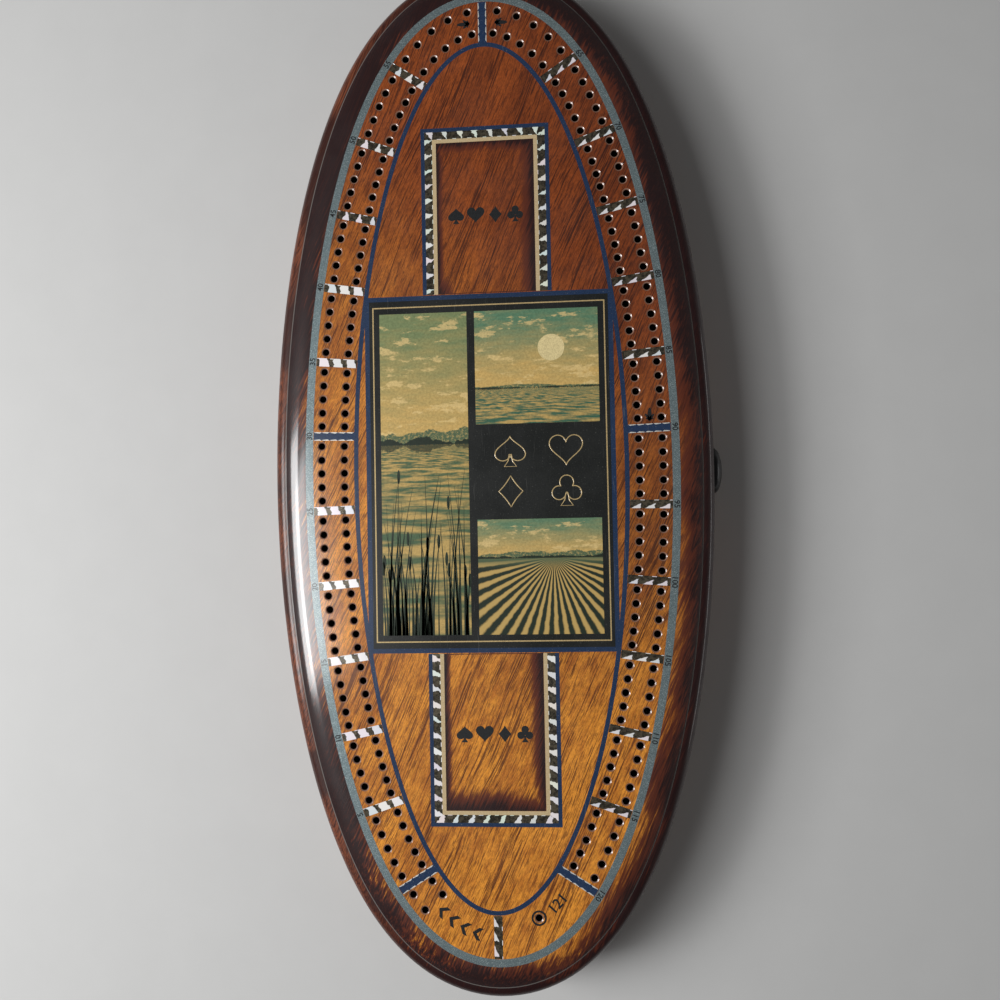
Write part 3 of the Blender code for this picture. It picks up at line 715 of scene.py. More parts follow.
@shared_effect("wood_grain", ("Place", "Turn", "Pitch", "Length"),
               ("Streaks", "Lines", "Bands", "Pores", "Flecks"))
def grain_effect(graph: Graph, fed: Sockets) -> Sockets:
    """Wire wood grain along one direction: soft streaks, thin dark lines, broad bands and short pores.

    Args:
        graph: The group's tree.
        fed: Its inputs.

    Returns:
        Its outputs.
    """
    facing = graph.rotated(fed["Place"], fed["Turn"])
    waver = graph.minus(graph.noise(facing, 1.0, 0.5, 14.0), 0.5)
    shift = graph.join(graph.times(waver, 0.008), 0.0)
    along = graph.vector("ADD", facing, shift)
    cell = graph.join(fed["Pitch"], fed["Length"], fed["Pitch"])
    unit = graph.vector("DIVIDE", along, cell)
    fibres = graph.noise(graph.scaled(unit, (2.6, 1.6, 2.6)), 4.0, 0.7)
    lines = graph.noise(graph.scaled(unit, (2.6, 1.2, 2.6)), 2.0, 0.55)
    dense = graph.noise(graph.scaled(unit, (0.16, 0.4, 0.16)), 2.0, 0.5)
    level = graph.plus(lines, graph.times(graph.minus(dense, 0.5), 0.35))
    bands = graph.noise(graph.scaled(unit, (0.14, 0.6, 0.14)), 2.0, 0.5)
    mottle = graph.noise(graph.scaled(unit, (0.4, 5.0, 0.4)), 3.0, 0.6)
    figure = graph.plus(graph.times(bands, 0.5), graph.times(mottle, 0.5))
    pores = graph.noise(graph.scaled(unit, (3.6, 6.0, 3.6)), 1.0, 0.5)
    flecks = graph.noise(graph.scaled(unit, (3.0, 26.0, 3.0)), 3.0, 0.75)
    return {"Streaks": graph.step(fibres, 0.33, 0.67), "Lines": graph.step(level, 0.598, 0.615),
            "Bands": graph.step(figure, 0.38, 0.62), "Pores": graph.step(pores, 0.56, 0.62),
            "Flecks": graph.step(flecks, 0.32, 0.68)}


@shared_effect("torch_burn", ("Place", "Turn", "Distance", "Reach", "Ragged"), ("Burn",))
def burn_effect(graph: Graph, fed: Sockets) -> Sockets:
    """Wire a torch burn that fades with the distance from a hot edge, with a streaky front.

    Args:
        graph: The group's tree.
        fed: Its inputs.

    Returns:
        Its outputs.
    """
    facing = graph.rotated(fed["Place"], fed["Turn"])
    streaks = graph.noise(graph.scaled(facing, (1100.0, 70.0, 1100.0)), 3.0, 0.6)
    clouds = graph.noise(fed["Place"], 2.0, 0.5, 24.0)
    front = graph.plus(graph.minus(streaks, 0.5), graph.minus(clouds, 0.5))
    front = graph.times(front, fed["Ragged"])
    depth = graph.over(fed["Distance"], fed["Reach"])
    level = graph.minus(1.0, graph.plus(depth, front))
    return {"Burn": graph.step(level, 0.0, 1.0)}


@shared_effect("handling_marks", ("Place",), ("Smudges", "Hairs", "Specks"))
def wear_effect(graph: Graph, fed: Sockets) -> Sockets:
    """Wire handling marks: soft smudges, fine hair scratches and specks of dust.

    Args:
        graph: The group's tree.
        fed: Its inputs.

    Returns:
        Its outputs.
    """
    smudges = graph.noise(fed["Place"], 3.0, 0.6, 45.0)
    warped = graph.vector("ADD", fed["Place"], graph.join(graph.times(smudges, 0.004), 0.0))
    hairs = graph.noise(graph.scaled(warped, (2600.0, 60.0, 400.0)), 1.0, 0.4)
    specks = graph.noise(fed["Place"], 0.0, 0.5, 1500.0)
    return {"Smudges": graph.step(smudges, 0.35, 0.7), "Hairs": graph.step(hairs, 0.7, 0.78),
            "Specks": graph.step(specks, 0.72, 0.8)}


@shared_effect("foil_facets", ("Strip", "Period", "Width", "Bright", "Taper", "Ramp", "Lean", "Seed"),
               ("Glint", "Colour Tint", "Cell"))
def facet_effect(graph: Graph, fed: Sockets) -> Sockets:
    """Wire the facets of prismatic foil: in every period one wedge of painted glint, widest at the first
    edge.

    Args:
        graph: The group's tree.
        fed: Its inputs.

    Returns:
        Its outputs.
    """
    along, across, _ = graph.split(fed["Strip"])
    share = graph.over(across, fed["Width"])
    bend = graph.noise(graph.vector("DIVIDE", fed["Strip"], (0.0016, 0.0016, 1.0)), 1.0, 0.5)
    jog = graph.times(graph.minus(bend, 0.5), 0.3)
    turns = graph.plus(graph.over(along, fed["Period"]), jog)
    cell = graph.math("FLOOR", turns)
    inside = graph.math("FRACT", turns)
    wander = graph.made("TexWhiteNoise", {"Vector": graph.join(cell, fed["Seed"])}, noise_dimensions="2D")
    reach = graph.plus(fed["Bright"], graph.times(wander, 0.14))
    taper = graph.minus(1.0, graph.times(share, fed["Taper"]))
    lean = graph.times(share, fed["Lean"])
    start = graph.step(graph.minus(inside, lean), 0.0, 0.02)
    end = graph.plus(lean, graph.times(taper, reach))
    wedge = graph.times(start, graph.step(graph.minus(end, inside), 0.0, 0.02))
    slope = graph.times(graph.over(inside, reach), 0.6)
    crown = graph.made("MapRange", dict(enumerate((fed["Ramp"], 0.0, 1.0, 1.2, slope))))
    below = graph.step(graph.minus(crown, share), 0.0, 0.06)
    wedge = graph.times(wedge, below)
    # A thin dash of painted glint along the far edge.
    rim = graph.times(graph.step(share, 0.9, 0.94), graph.step(inside, 0.72, 0.74))
    return {"Glint": graph.most(wedge, rim), "Colour Tint": wander.node.outputs[1], "Cell": wander}


@shared_effect("metal_flakes", ("Place", "Size"), ("Flake", "Sparkle"))
def flake_effect(graph: Graph, fed: Sockets) -> Sockets:
    """Wire metal flakes: cells of random brightness, of which a few sparkle.

    Args:
        graph: The group's tree.
        fed: Its inputs.

    Returns:
        Its outputs.
    """
    unit = graph.vector("DIVIDE", fed["Place"], graph.join(fed["Size"], fed["Size"], fed["Size"]))
    level, _, _ = graph.split(graph.made("TexVoronoi", {"Vector": unit, "Scale": 1.0}, "Color"))
    return {"Flake": level, "Sparkle": graph.step(level, 0.86, 0.98)}


@shared_effect("printed_view", ("Strip", "Horizon", "Ridge", "Ridge Pitch", "Seed"),
               ("Sky", "Bank", "Waves", "Grit", "Hills", "Mirror"))
def view_effect(graph: Graph, fed: Sockets) -> Sockets:
    """Wire a printed landscape: a ragged far bank at the horizon and ripples that widen towards the front.

    Args:
        graph: The group's tree.
        fed: Its inputs.

    Returns:
        Its outputs.
    """
    across, up, _ = graph.split(fed["Strip"])
    seeded = graph.join(graph.over(across, fed["Ridge Pitch"]), fed["Seed"])
    ragged = graph.noise(seeded, 6.0, 0.62)
    crest = graph.times(graph.minus(ragged, 0.35), fed["Ridge"])
    above = graph.minus(up, fed["Horizon"])
    bank = graph.times(graph.step(graph.minus(crest, above), 0.0, 0.0002), graph.step(above, -0.0002, 0.0))
    far = graph.noise(graph.scaled(seeded, (0.4, 1.7, 1.0)), 5.0, 0.6)
    peak = graph.times(graph.minus(far, 0.3), graph.times(fed["Ridge"], 2.0))
    hills = graph.times(graph.step(graph.minus(peak, above), 0.0, 0.0004), graph.step(above, -0.0002, 0.0))
    sway = graph.noise(graph.scaled(fed["Strip"], (200.0, 1400.0, 1.0)), 2.0, 0.5)
    mirror = graph.plus(graph.times(crest, graph.plus(sway, 0.6)), above)
    mirror = graph.times(graph.step(mirror, 0.0, 0.0006), graph.step(above, 0.0, -0.0002))
    near = graph.most(graph.times(above, -1.0), 0.0004)
    ripple = graph.join(graph.over(across, graph.times(near, 0.9)),
                        graph.times(graph.math("LOGARITHM", near, 2.718), 9.0), fed["Seed"])
    waves = graph.step(graph.noise(ripple, 3.0, 0.6), 0.4, 0.62)
    grit = graph.noise(fed["Strip"], 4.0, 0.75, 900.0)
    return {"Sky": graph.step(above, 0.0, 0.0003), "Bank": bank, "Waves": waves, "Grit": grit,
            "Hills": hills, "Mirror": mirror}


@shared_effect("ply_layers", ("Depth", "Layer"), ("Odd", "Glue"))
def ply_effect(graph: Graph, fed: Sockets) -> Sockets:
    """Wire plywood's edge: thin layers of turned grain between dark glue lines.

    Args:
        graph: The group's tree.
        fed: Its inputs.

    Returns:
        Its outputs.
    """
    turns = graph.over(fed["Depth"], fed["Layer"])
    inside = graph.math("FRACT", turns)
    odd = graph.step(graph.math("PINGPONG", turns, 1.0), 0.35, 0.65)
    glue = graph.most(graph.step(inside, 0.9, 0.98), graph.step(inside, 0.08, 0.0))
    return {"Odd": odd, "Glue": glue}


@shared_effect("felt_nap", ("Place",), ("Fibre", "Worn"))
def nap_effect(graph: Graph, fed: Sockets) -> Sockets:
    """Wire a felt nap: fine fibres in two directions over soft worn clouds.

    Args:
        graph: The group's tree.
        fed: Its inputs.

    Returns:
        Its outputs.
    """
    first = graph.noise(graph.scaled(fed["Place"], (2500.0, 500.0, 2500.0)), 3.0, 0.6)
    second = graph.noise(graph.scaled(fed["Place"], (500.0, 2500.0, 2500.0)), 3.0, 0.6)
    clouds = graph.noise(fed["Place"], 2.0, 0.5, 60.0)
    return {"Fibre": graph.most(first, second), "Worn": graph.step(clouds, 0.4, 0.7)}


@dataclass(frozen=True)
class Finish:
    """A surface finish, which builds its material once."""

    name: str
    slot: str

    def material(self) -> Material:
        """Return the finish's material, built when it is first asked for.

        Returns:
            The material.
        """
        found = bpy.data.materials.get(self.name)
        if found is not None:
            return found
        made = bpy.data.materials.new(self.name)
        made.use_nodes = True
        self.wire(Surface(made))
        return made

    def wire(self, graph: Surface) -> None:
        """Wire the finish into a material."""
        raise NotImplementedError


@dataclass(frozen=True)
class VarnishedWood(Finish):
    """Stained wood with a diagonal grain, burnt from its hot edges, under gloss varnish; painted light,
    painted shade and painted highlights are laid in its colour.
    """

    turn: float = math.radians(24)
    pitch: float = 1.5 * MM
    length: float = 42.0 * MM
    far_light: Colour = display(162, 80, 30)
    far_dark: Colour = display(116, 54, 22)
    near_light: Colour = display(240, 158, 54)
    near_dark: Colour = display(168, 94, 30)
    far_line: Colour = display(58, 24, 14)
    near_line: Colour = display(84, 38, 16)
    # Tint of the darkening on the right of the face: partly burn, partly painted shade away from the lamps.
    toasted: Colour = (0.35, 0.25, 0.3)
    scorched: Colour = display(94, 42, 25)
    charred: Colour = display(37, 17, 18)
    # Red-brown of painted light on the moulding's left side, which faces the lamps.
    edge_left: Colour = display(132, 72, 46)
    # Grey of the painted highlight lines along the moulding's edges.
    worn_line: Colour = display(120, 116, 112)
    rim_start: float = 0.0
    rim_full: float = 33.5 * MM
    rim_reach: float = 17.0 * MM
    ovolo_start: float = 32.4 * MM
    worn_lines: tuple[tuple[float, float], ...] = ()
    frame_half_width: float = 0.0
    frame_end: float = 0.0
    frame_start: float = 0.0
    frame_reach: float = 9.0 * MM

    def wood_colour(self, graph: Graph, place: NodeSocket) -> tuple[NodeSocket, Sockets]:
        """Return the colour of the bare stained wood and its grain, lighter towards the -Y end and the
        left, which is partly stain and partly painted light from the lamps' side.

        Args:
            graph: The material's tree.
            place: Where a point of the surface lies.

        Returns:
            The colour and the grain's outputs.
        """
        grain = graph.use(grain_effect, Place=place, Turn=self.turn, Pitch=self.pitch, Length=self.length)
        across, along, _ = graph.split(place)
        # Lighter towards the -Y end and towards the left: partly the stain, partly painted light from the
        # lamps' side.
        near = graph.step(graph.plus(along, graph.times(across, 0.75)), 0.13, -0.07)
        light = graph.mix(near, self.far_light, self.near_light)
        dark = graph.mix(near, self.far_dark, self.near_dark)
        line = graph.mix(near, self.far_line, self.near_line)
        figure = graph.plus(graph.times(grain["Streaks"], 0.45), graph.times(grain["Bands"], 0.55))
        wood = graph.mix(figure, dark, light)
        wood = graph.shade(wood, graph.step(grain["Flecks"], 0.0, 1.0, 0.78, 1.2))
        wood = graph.mix(graph.times(grain["Lines"], 0.82), wood, line)
        return graph.mix(graph.times(grain["Pores"], 0.6), wood, line), grain

    def rim_burn(self, graph: Graph, place: NodeSocket) -> NodeSocket:
        """Return how far the moulded rim is burnt.

        Args:
            graph: The material's tree.
            place: Where a point of the surface lies.

        Returns:
            The burn, from 0 to 1.
        """
        _, offset, _ = graph.split(graph.strip())
        across, along, _ = graph.split(place)
        more = graph.plus(graph.step(along, -0.01, 0.12, 0.0, 6.0 * MM),
                          graph.step(across, 0.04, -0.04, -1.2 * MM, 4.0 * MM))
        more = graph.plus(more, graph.step(along, -0.12, -0.2, 0.0, -2.5 * MM))
        distance = graph.minus(graph.minus(self.rim_full, more), offset)
        ragged = graph.step(across, 0.03, -0.03, 1.1, 1.9)
        fire = graph.use(burn_effect, Place=place, Turn=self.turn, Distance=distance, Reach=self.rim_reach,
                         Ragged=ragged)
        outside = graph.step(offset, self.rim_start, self.rim_start + 1.5 * MM)
        return graph.times(outside, fire["Burn"])

    def toast(self, graph: Graph, place: NodeSocket) -> NodeSocket:
        """Return how far the face is darkened, partly as burn and partly as painted shade away from the
        lamps: not on the left, and most on the right of the far half.
        """
        across, along, _ = graph.split(place)
        return graph.times(graph.step(across, -0.01, 0.05), graph.step(along, -0.12, -0.06, 0.0, 0.35))

    def frame_burn(self, graph: Graph, place: NodeSocket) -> NodeSocket:
        """Find how far the wood inside the card frames is burnt: most at the far end, least on the left.

        Args:
            graph: The material's tree.
            place: Where a point of the surface lies.

        Returns:
            The burn, from 0 to 1.
        """
        across, along, _ = graph.split(place)
        gap_left = graph.plus(self.frame_half_width, across)
        left = graph.times(gap_left, 2.4)
        right = graph.times(graph.minus(self.frame_half_width, across), 1.05)
        out = graph.math("ABSOLUTE", along)
        gap_start = graph.minus(out, self.frame_start)
        end = graph.times(graph.minus(self.frame_end, out), graph.step(along, -0.02, 0.02, 0.75, 1.3))
        start = graph.times(gap_start, 14.0)
        near = graph.least(graph.least(left, right), graph.least(end, start))
        corner = graph.vector_length(graph.join(gap_left, graph.minus(along, self.frame_start)))
        near = graph.least(near, graph.times(corner, 0.8))
        inside = graph.step(near, 0.0, 0.0001)
        inside = graph.times(inside, graph.step(gap_left, 0.0, 0.0001))
        inside = graph.times(inside, graph.step(gap_start, 0.0, 0.0001))
        ragged = graph.step(graph.minus(self.frame_end, out), 0.03, 0.008, 0.5, 0.95)
        fire = graph.use(burn_effect, Place=place, Turn=self.turn, Distance=near, Reach=self.frame_reach,
                         Ragged=ragged)
        return graph.times(inside, fire["Burn"])

    def wire(self, graph: Surface) -> None:
        """Wire the wood, its burns, the painted light on the left of the moulding and the painted highlight
        lines along the moulding's edges.

        Args:
            graph: The material's tree.
        """
        place = graph.place()
        colour, grain = self.wood_colour(graph, place)
        burn = self.rim_burn(graph, place)
        if self.frame_half_width:
            burn = graph.most(burn, self.frame_burn(graph, place))
            # Darken the right of the face: partly burn, partly painted shade.
            colour = graph.mix(self.toast(graph, place), colour, self.toasted, "MULTIPLY")
        fibre = graph.step(grain["Streaks"], 0.0, 1.0, -0.12, 0.12)
        burn = graph.plus(burn, graph.times(fibre, graph.step(burn, 0.0, 0.2)))
        colour = graph.mix(graph.step(burn, 0.0, 0.5), colour, self.scorched)
        colour = graph.mix(graph.step(burn, 0.5, 1.0), colour, self.charred)
        _, offset, _ = graph.split(graph.strip())
        across, _, _ = graph.split(place)
        # Painted light: the outer moulding on the left, which faces the lamps, is streaked a lighter
        # red-brown.
        edge = graph.times(graph.step(offset, self.ovolo_start, self.ovolo_start + 0.3 * MM),
                          graph.step(across, -0.01, -0.07))
        edge = graph.times(edge, graph.step(graph.noise(place, 2.0, 0.5, 30.0), 0.4, 0.6, 0.2, 1.0))
        colour = graph.mix(graph.times(edge, grain["Streaks"]), colour, self.edge_left)
        # Thin grey lines along the moulding's edges are painted highlights, where the edges catch the
        # lamps.
        for line, width in self.worn_lines:
            near = graph.math("ABSOLUTE", graph.minus(offset, line))
            worn = graph.step(near, width, width / 2, 0.0, 0.75)
            colour = graph.mix(worn, colour, self.worn_line)
        marks = graph.use(wear_effect, Place=place)
        graph.lay(colour, graph.step(marks["Smudges"], 0.0, 1.0, 0.4, 0.55))
        graph.bump(grain["Streaks"], 0.02 * MM)
        graph.lacquer()
        coat = graph.step(offset, self.ovolo_start, self.ovolo_start + 0.3 * MM, 1.0, 0.3)
        graph.feed(graph.shader["Coat Weight"], coat)


@dataclass(frozen=True)
class DrilledWood(Finish):
    """The inside of a drilled peg hole: a pale cut edge over a wall with painted shade that darkens with
    depth.
    """

    light: Colour = display(142, 106, 88)
    middle: Colour = display(52, 32, 24)
    dark: Colour = display(12, 9, 8)

    def wire(self, graph: Surface) -> None:
        """Wire the cut edge and the wall with its painted shade.

        Args:
            graph: The material's tree.
        """
        place = graph.place()
        _, _, height = graph.split(place)
        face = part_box("playing_top")[1].z
        grit = graph.noise(place, 3.0, 0.6, 2500.0)
        ragged = graph.plus(height, graph.times(graph.minus(grit, 0.5), 0.0005))
        # Painted shade: the wall is painted darker and darker with depth, down to near black.
        colour = graph.mix(graph.step(ragged, face - 0.25 * MM, face - 0.5 * MM), self.light, self.middle)
        colour = graph.mix(graph.step(ragged, face - 0.9 * MM, face - 2.0 * MM), colour, self.dark)
        graph.lay(colour, graph.step(grit, 0.3, 0.7, 0.3, 0.55))
        graph.bump(grit, 0.02 * MM)
        graph.lacquer(0.2)


@dataclass(frozen=True)
class Film(Finish):
    """A thin coloured film under the varnish, with faint mottling and specks of dust."""

    colour: Colour = (0.5, 0.5, 0.5)
    deep: Colour = (0.4, 0.4, 0.4)
    speck: Colour = display(150, 150, 145)
    speck_share: float = 0.25

    def wire(self, graph: Surface) -> None:
        """Wire the film.

        Args:
            graph: The material's tree.
        """
        place = graph.place()
        marks = graph.use(wear_effect, Place=place)
        grit = graph.noise(place, 3.0, 0.7, 1800.0)
        colour = graph.mix(graph.step(grit, 0.3, 0.7), self.deep, self.colour)
        dust = graph.times(graph.most(marks["Specks"], marks["Hairs"]), self.speck_share)
        graph.lay(graph.mix(dust, colour, self.speck), graph.step(marks["Smudges"], 0.0, 1.0, 0.3, 0.45))
        graph.bump(grit, 0.01 * MM)
        graph.lacquer()


@dataclass(frozen=True)
class SilverFilm(Finish):
    """Blue-grey film full of fine metal flakes."""

    light: Colour = display(140, 155, 156)
    dark: Colour = display(82, 98, 104)
    spark: Colour = display(215, 230, 230)

    def wire(self, graph: Surface) -> None:
        """Wire the flakes.

        Args:
            graph: The material's tree.
        """
        place = graph.place()
        flakes = graph.use(flake_effect, Place=place, Size=0.16 * MM)
        clouds = graph.noise(place, 2.0, 0.5, 260.0)
        level = graph.plus(graph.times(flakes["Flake"], 0.7), graph.times(clouds, 0.3))
        colour = graph.mix(level, self.dark, self.light)
        # Painted glints: a few flakes are given a near-white sparkle colour.
        colour = graph.mix(graph.times(flakes["Sparkle"], 0.8), colour, self.spark)
        graph.lay(colour, graph.step(flakes["Flake"], 0.0, 1.0, 0.5, 0.3))
        graph.shader["Metallic"].default_value = 0.45
        graph.bump(flakes["Flake"], 0.015 * MM)
        graph.lacquer()


@dataclass(frozen=True)
class FoilFilm(Finish):
    """Prismatic foil: white wedges of painted glint on dark grey, with faint rainbow tints."""

    width: float = 3.8 * MM
    period: float = 6.9 * MM
    share: float = 0.42
    taper: float = 0.55
    ramp: float = 0.0
    lean: float = 0.22
    seed: float = 0.0
    # The white of the painted glints.
    bright: Colour = display(252, 253, 248)
    dark: Colour = display(98, 90, 74)
    deep: Colour = display(50, 46, 38)

    def wire(self, graph: Surface) -> None:
        """Wire the wedges of painted glint.

        Args:
            graph: The material's tree.
        """
        facets = graph.use(facet_effect, Strip=graph.strip(), Period=self.period, Width=self.width,
                           Bright=self.share, Taper=self.taper, Ramp=self.ramp, Lean=self.lean,
                           Seed=self.seed)
        # Painted highlight: the glint mask lays near-white over the dark foil.
        glint = facets["Glint"]
        bright = graph.mix(0.15, self.bright, facets["Colour Tint"], "MULTIPLY")
        scuffs = graph.noise(graph.place(), 3.0, 0.7, 700.0)
        dark = graph.mix(graph.step(scuffs, 0.38, 0.62), self.deep, self.dark)
        graph.lay(graph.mix(glint, dark, bright), graph.step(facets["Cell"], 0.0, 1.0, 0.25, 0.4))
        graph.feed(graph.shader["Metallic"], graph.step(glint, 0.0, 1.0, 0.5, 0.1))
        graph.bump(glint, 0.08 * MM)
        graph.lacquer()


@dataclass(frozen=True)
class PrintedView(Finish):
    """A printed landscape in faded ochre and green inks: sky, far bank and rippled water."""

    horizon: float = 20.0 * MM
    ridge: float = 6.0 * MM
    ridge_pitch: float = 9.0 * MM
    seed: float = 1.0
    height: float = 60.0 * MM
    sky_low: Colour = display(214, 178, 106)
    sky_high: Colour = display(126, 140, 96)
    water_light: Colour = display(200, 168, 100)
    water_dark: Colour = display(80, 104, 74)
    bank: Colour = display(34, 46, 34)
    hill: Colour = display(92, 110, 80)
    cloud: Colour = display(236, 206, 140)

    def wire(self, graph: Surface) -> None:
        """Wire the print.

        Args:
            graph: The material's tree.
        """
        strip = graph.strip()
        view = graph.use(view_effect, Strip=strip, Horizon=self.horizon, Ridge=self.ridge,
                         Ridge_Pitch=self.ridge_pitch, Seed=self.seed)
        _, up, _ = graph.split(strip)
        clouds = graph.noise(graph.scaled(strip, (60.0, 240.0, 1.0)), 5.0, 0.6)
        lift = graph.plus(graph.step(up, self.horizon, self.height), graph.minus(clouds, 0.5))
        sky = graph.mix(lift, self.sky_low, self.sky_high)
        puffs = graph.noise(graph.scaled(strip, (70.0, 190.0, 1.0)), 6.0, 0.65)
        sky = graph.mix(graph.step(puffs, 0.54, 0.6, 0.0, 0.7), sky, self.cloud)
        snow = graph.step(view["Grit"], 0.5, 0.6, 0.0, 0.5)
        hills = graph.mix(snow, self.hill, self.sky_low)
        sky = graph.mix(view["Hills"], sky, hills)
        water = graph.mix(view["Waves"], self.water_dark, self.water_light)
        dim = graph.mix(graph.times(view["Mirror"], 0.75), water, self.bank)
        colour = graph.mix(view["Sky"], dim, sky)
        colour = graph.mix(view["Bank"], colour, self.bank)
        grit = graph.step(view["Grit"], 0.3, 0.7, 0.8, 1.12)
        graph.lay(graph.shade(colour, grit), graph.step(view["Grit"], 0.3, 0.7, 0.35, 0.5))
        graph.lacquer()


@dataclass(frozen=True)
class FurrowedField(PrintedView):
    """A printed field whose furrows run to a point on the horizon."""

    vanish_at: float = 10.0 * MM
    furrows: float = 46.0

    def wire(self, graph: Surface) -> None:
        """Wire the sky of the plain print over the furrows.

        Args:
            graph: The material's tree.
        """
        super().wire(graph)
        strip = graph.strip()
        across, up, _ = graph.split(strip)
        fall = graph.minus(self.horizon, up)
        angle = graph.math("ARCTAN2", graph.minus(across, self.vanish_at), fall)
        waver = graph.times(graph.noise(strip, 3.0, 0.6, 300.0), 1.6)
        furrow = graph.math("SINE", graph.plus(graph.times(angle, self.furrows), waver))
        crop = graph.mix(graph.step(furrow, -0.5, 0.7), self.bank, self.water_light)
        crop = graph.mix(graph.step(fall, 0.0, 0.005, 0.85, 0.0), crop, self.hill)
        ground = graph.step(fall, 0.0, 0.0003)
        plain = graph.shader["Base Color"].links[0].from_socket
        graph.feed(graph.shader["Base Color"], graph.mix(ground, plain, crop))


@dataclass(frozen=True)
class Ink(Finish):
    """A printed ink or a thin metallic line, with a slightly uneven lay."""

    colour: Colour = (0.5, 0.5, 0.5)
    metallic: float = 0.0

    def wire(self, graph: Surface) -> None:
        """Wire the ink.

        Args:
            graph: The material's tree.
        """
        grit = graph.noise(graph.place(), 3.0, 0.7, 2200.0)
        level = graph.step(grit, 0.3, 0.7, 0.72, 1.1)
        graph.lay(graph.shade(self.colour, level), graph.step(grit, 0.3, 0.7, 0.35, 0.5))
        graph.shader["Metallic"].default_value = self.metallic
        graph.lacquer()


@dataclass(frozen=True)
class BareWood(Finish):
    """Sanded wood, with plywood's layers and glue lines on the faces that turn away from one axis."""

    turn: float = 0.0
    light: Colour = display(218, 188, 146)
    dark: Colour = display(186, 148, 102)
    pore: Colour = display(140, 100, 62)
    layer: float = 1.5 * MM
    layer_axis: int = 2
    pitch: float = 1.2 * MM
    length: float = 60.0 * MM
    roughness: float = 0.6

    def wire(self, graph: Surface) -> None:
        """Wire the wood and its edge layers.

        Args:
            graph: The material's tree.
        """
        place = graph.place()
        grain = graph.use(grain_effect, Place=place, Turn=self.turn, Pitch=self.pitch, Length=self.length)
        figure = graph.plus(graph.times(grain["Streaks"], 0.5), graph.times(grain["Bands"], 0.5))
        colour = graph.mix(figure, self.dark, self.light)
        colour = graph.mix(graph.times(grain["Lines"], 0.4), colour, self.dark)
        colour = graph.mix(graph.times(grain["Pores"], 0.4), colour, self.pore)
        depth = graph.split(place)[self.layer_axis]
        layers = graph.use(ply_effect, Depth=depth, Layer=self.layer)
        facing = graph.split(graph.add("NewGeometry").outputs["Normal"])[self.layer_axis]
        edge = graph.step(graph.math("ABSOLUTE", facing), 0.6, 0.4)
        layered = graph.mix(layers["Odd"], self.dark, self.light)
        layered = graph.mix(graph.times(layers["Glue"], 0.6), layered, self.pore)
        graph.lay(graph.mix(edge, colour, layered),
                  graph.step(grain["Streaks"], 0.0, 1.0, self.roughness + 0.08, self.roughness - 0.05))
        graph.bump(grain["Streaks"], 0.05 * MM)


@dataclass(frozen=True)
class GlossPaint(Finish):
    """Black gloss paint with a faint orange peel and a few hair scratches."""

    colour: Colour = display(22, 22, 24)
    scratch: Colour = display(90, 90, 90)

    def wire(self, graph: Surface) -> None:
        """Wire the paint.

        Args:
            graph: The material's tree.
        """
        place = graph.place()
        marks = graph.use(wear_effect, Place=place)
        peel = graph.noise(place, 2.0, 0.5, 900.0)
        colour = graph.mix(graph.times(marks["Hairs"], 0.35), self.colour, self.scratch)
        graph.lay(colour, graph.step(marks["Smudges"], 0.0, 1.0, 0.22, 0.38))
        graph.bump(peel, 0.03 * MM)


@dataclass(frozen=True)
class ZincSteel(Finish):
    """Zinc-plated steel with a cloudy plating."""

    light: Colour = display(205, 205, 200)
    dark: Colour = display(150, 152, 150)

    def wire(self, graph: Surface) -> None:
        """Wire the plating.

        Args:
            graph: The material's tree.
        """
        place = graph.place()
        spangle = graph.use(flake_effect, Place=place, Size=0.7 * MM)
        marks = graph.use(wear_effect, Place=place)
        graph.lay(graph.mix(spangle["Flake"], self.dark, self.light),
                  graph.step(marks["Smudges"], 0.0, 1.0, 0.25, 0.45))
        graph.shader["Metallic"].default_value = 1.0
        graph.bump(marks["Hairs"], 0.02 * MM)


@dataclass(frozen=True)
class Felt(Finish):
    """Green felt with a short nap."""

    light: Colour = display(66, 108, 72)
    dark: Colour = display(28, 62, 38)

    def wire(self, graph: Surface) -> None:
        """Wire the nap.

        Args:
            graph: The material's tree.
        """
        nap = graph.use(nap_effect, Place=graph.place())
        fibre = graph.step(nap["Fibre"], 0.4, 0.75)
        colour = graph.mix(fibre, self.dark, self.light)
        colour = graph.mix(graph.times(nap["Worn"], 0.25), colour, self.light)
        graph.lay(colour, graph.step(fibre, 0.0, 1.0, 1.0, 0.88))
        graph.shader["Sheen Weight"].default_value = 0.4
        graph.bump(fibre, 0.25 * MM)


BLUE_FILM = Film("blue_film_looks", "blue_film", colour=display(37, 60, 94), deep=display(26, 44, 73))
BLACK_PRINT = Ink("black_print", "black_film", colour=display(34, 36, 38))
ZINC_PLATE = ZincSteel("zinc_plated_steel", "zinc_steel")


class Assembly:
    """A group of pieces that ride on one body."""

    body = Body.CASE

    def show(self, name: str, mesh: Mesh, finishes: Sequence[Finish], *nodes: str) -> Object:
        """Put a piece in the scene.

        Args:
            name: The piece's name.
            mesh: Its mesh, at its place.
            finishes: Its finishes, in the order of the mesh's material numbers.
            nodes: The CAD nodes that it stands for.

        Returns:
            The piece.
        """
        for finish in finishes:
            mesh.materials.append(finish.material())
        mesh.name = name
        piece = bpy.data.objects.new(name, mesh)
        bpy.context.scene.collection.objects.link(piece)
        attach(piece, self.body.value)
        if nodes:
            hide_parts(*nodes)
        LOG.info("%s: %d faces", name, len(mesh.polygons))
        return piece

    def dress(self, finish: Finish, *nodes: str) -> None:
        """Give CAD nodes that stay their finish.

        Args:
            finish: The finish.
            nodes: The nodes' names.
        """
        for node in nodes:
            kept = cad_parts[node]
            for slot in kept.material_slots:
                slot.material = finish.material()
            LOG.info("%s: kept, %s", node, finish.name)


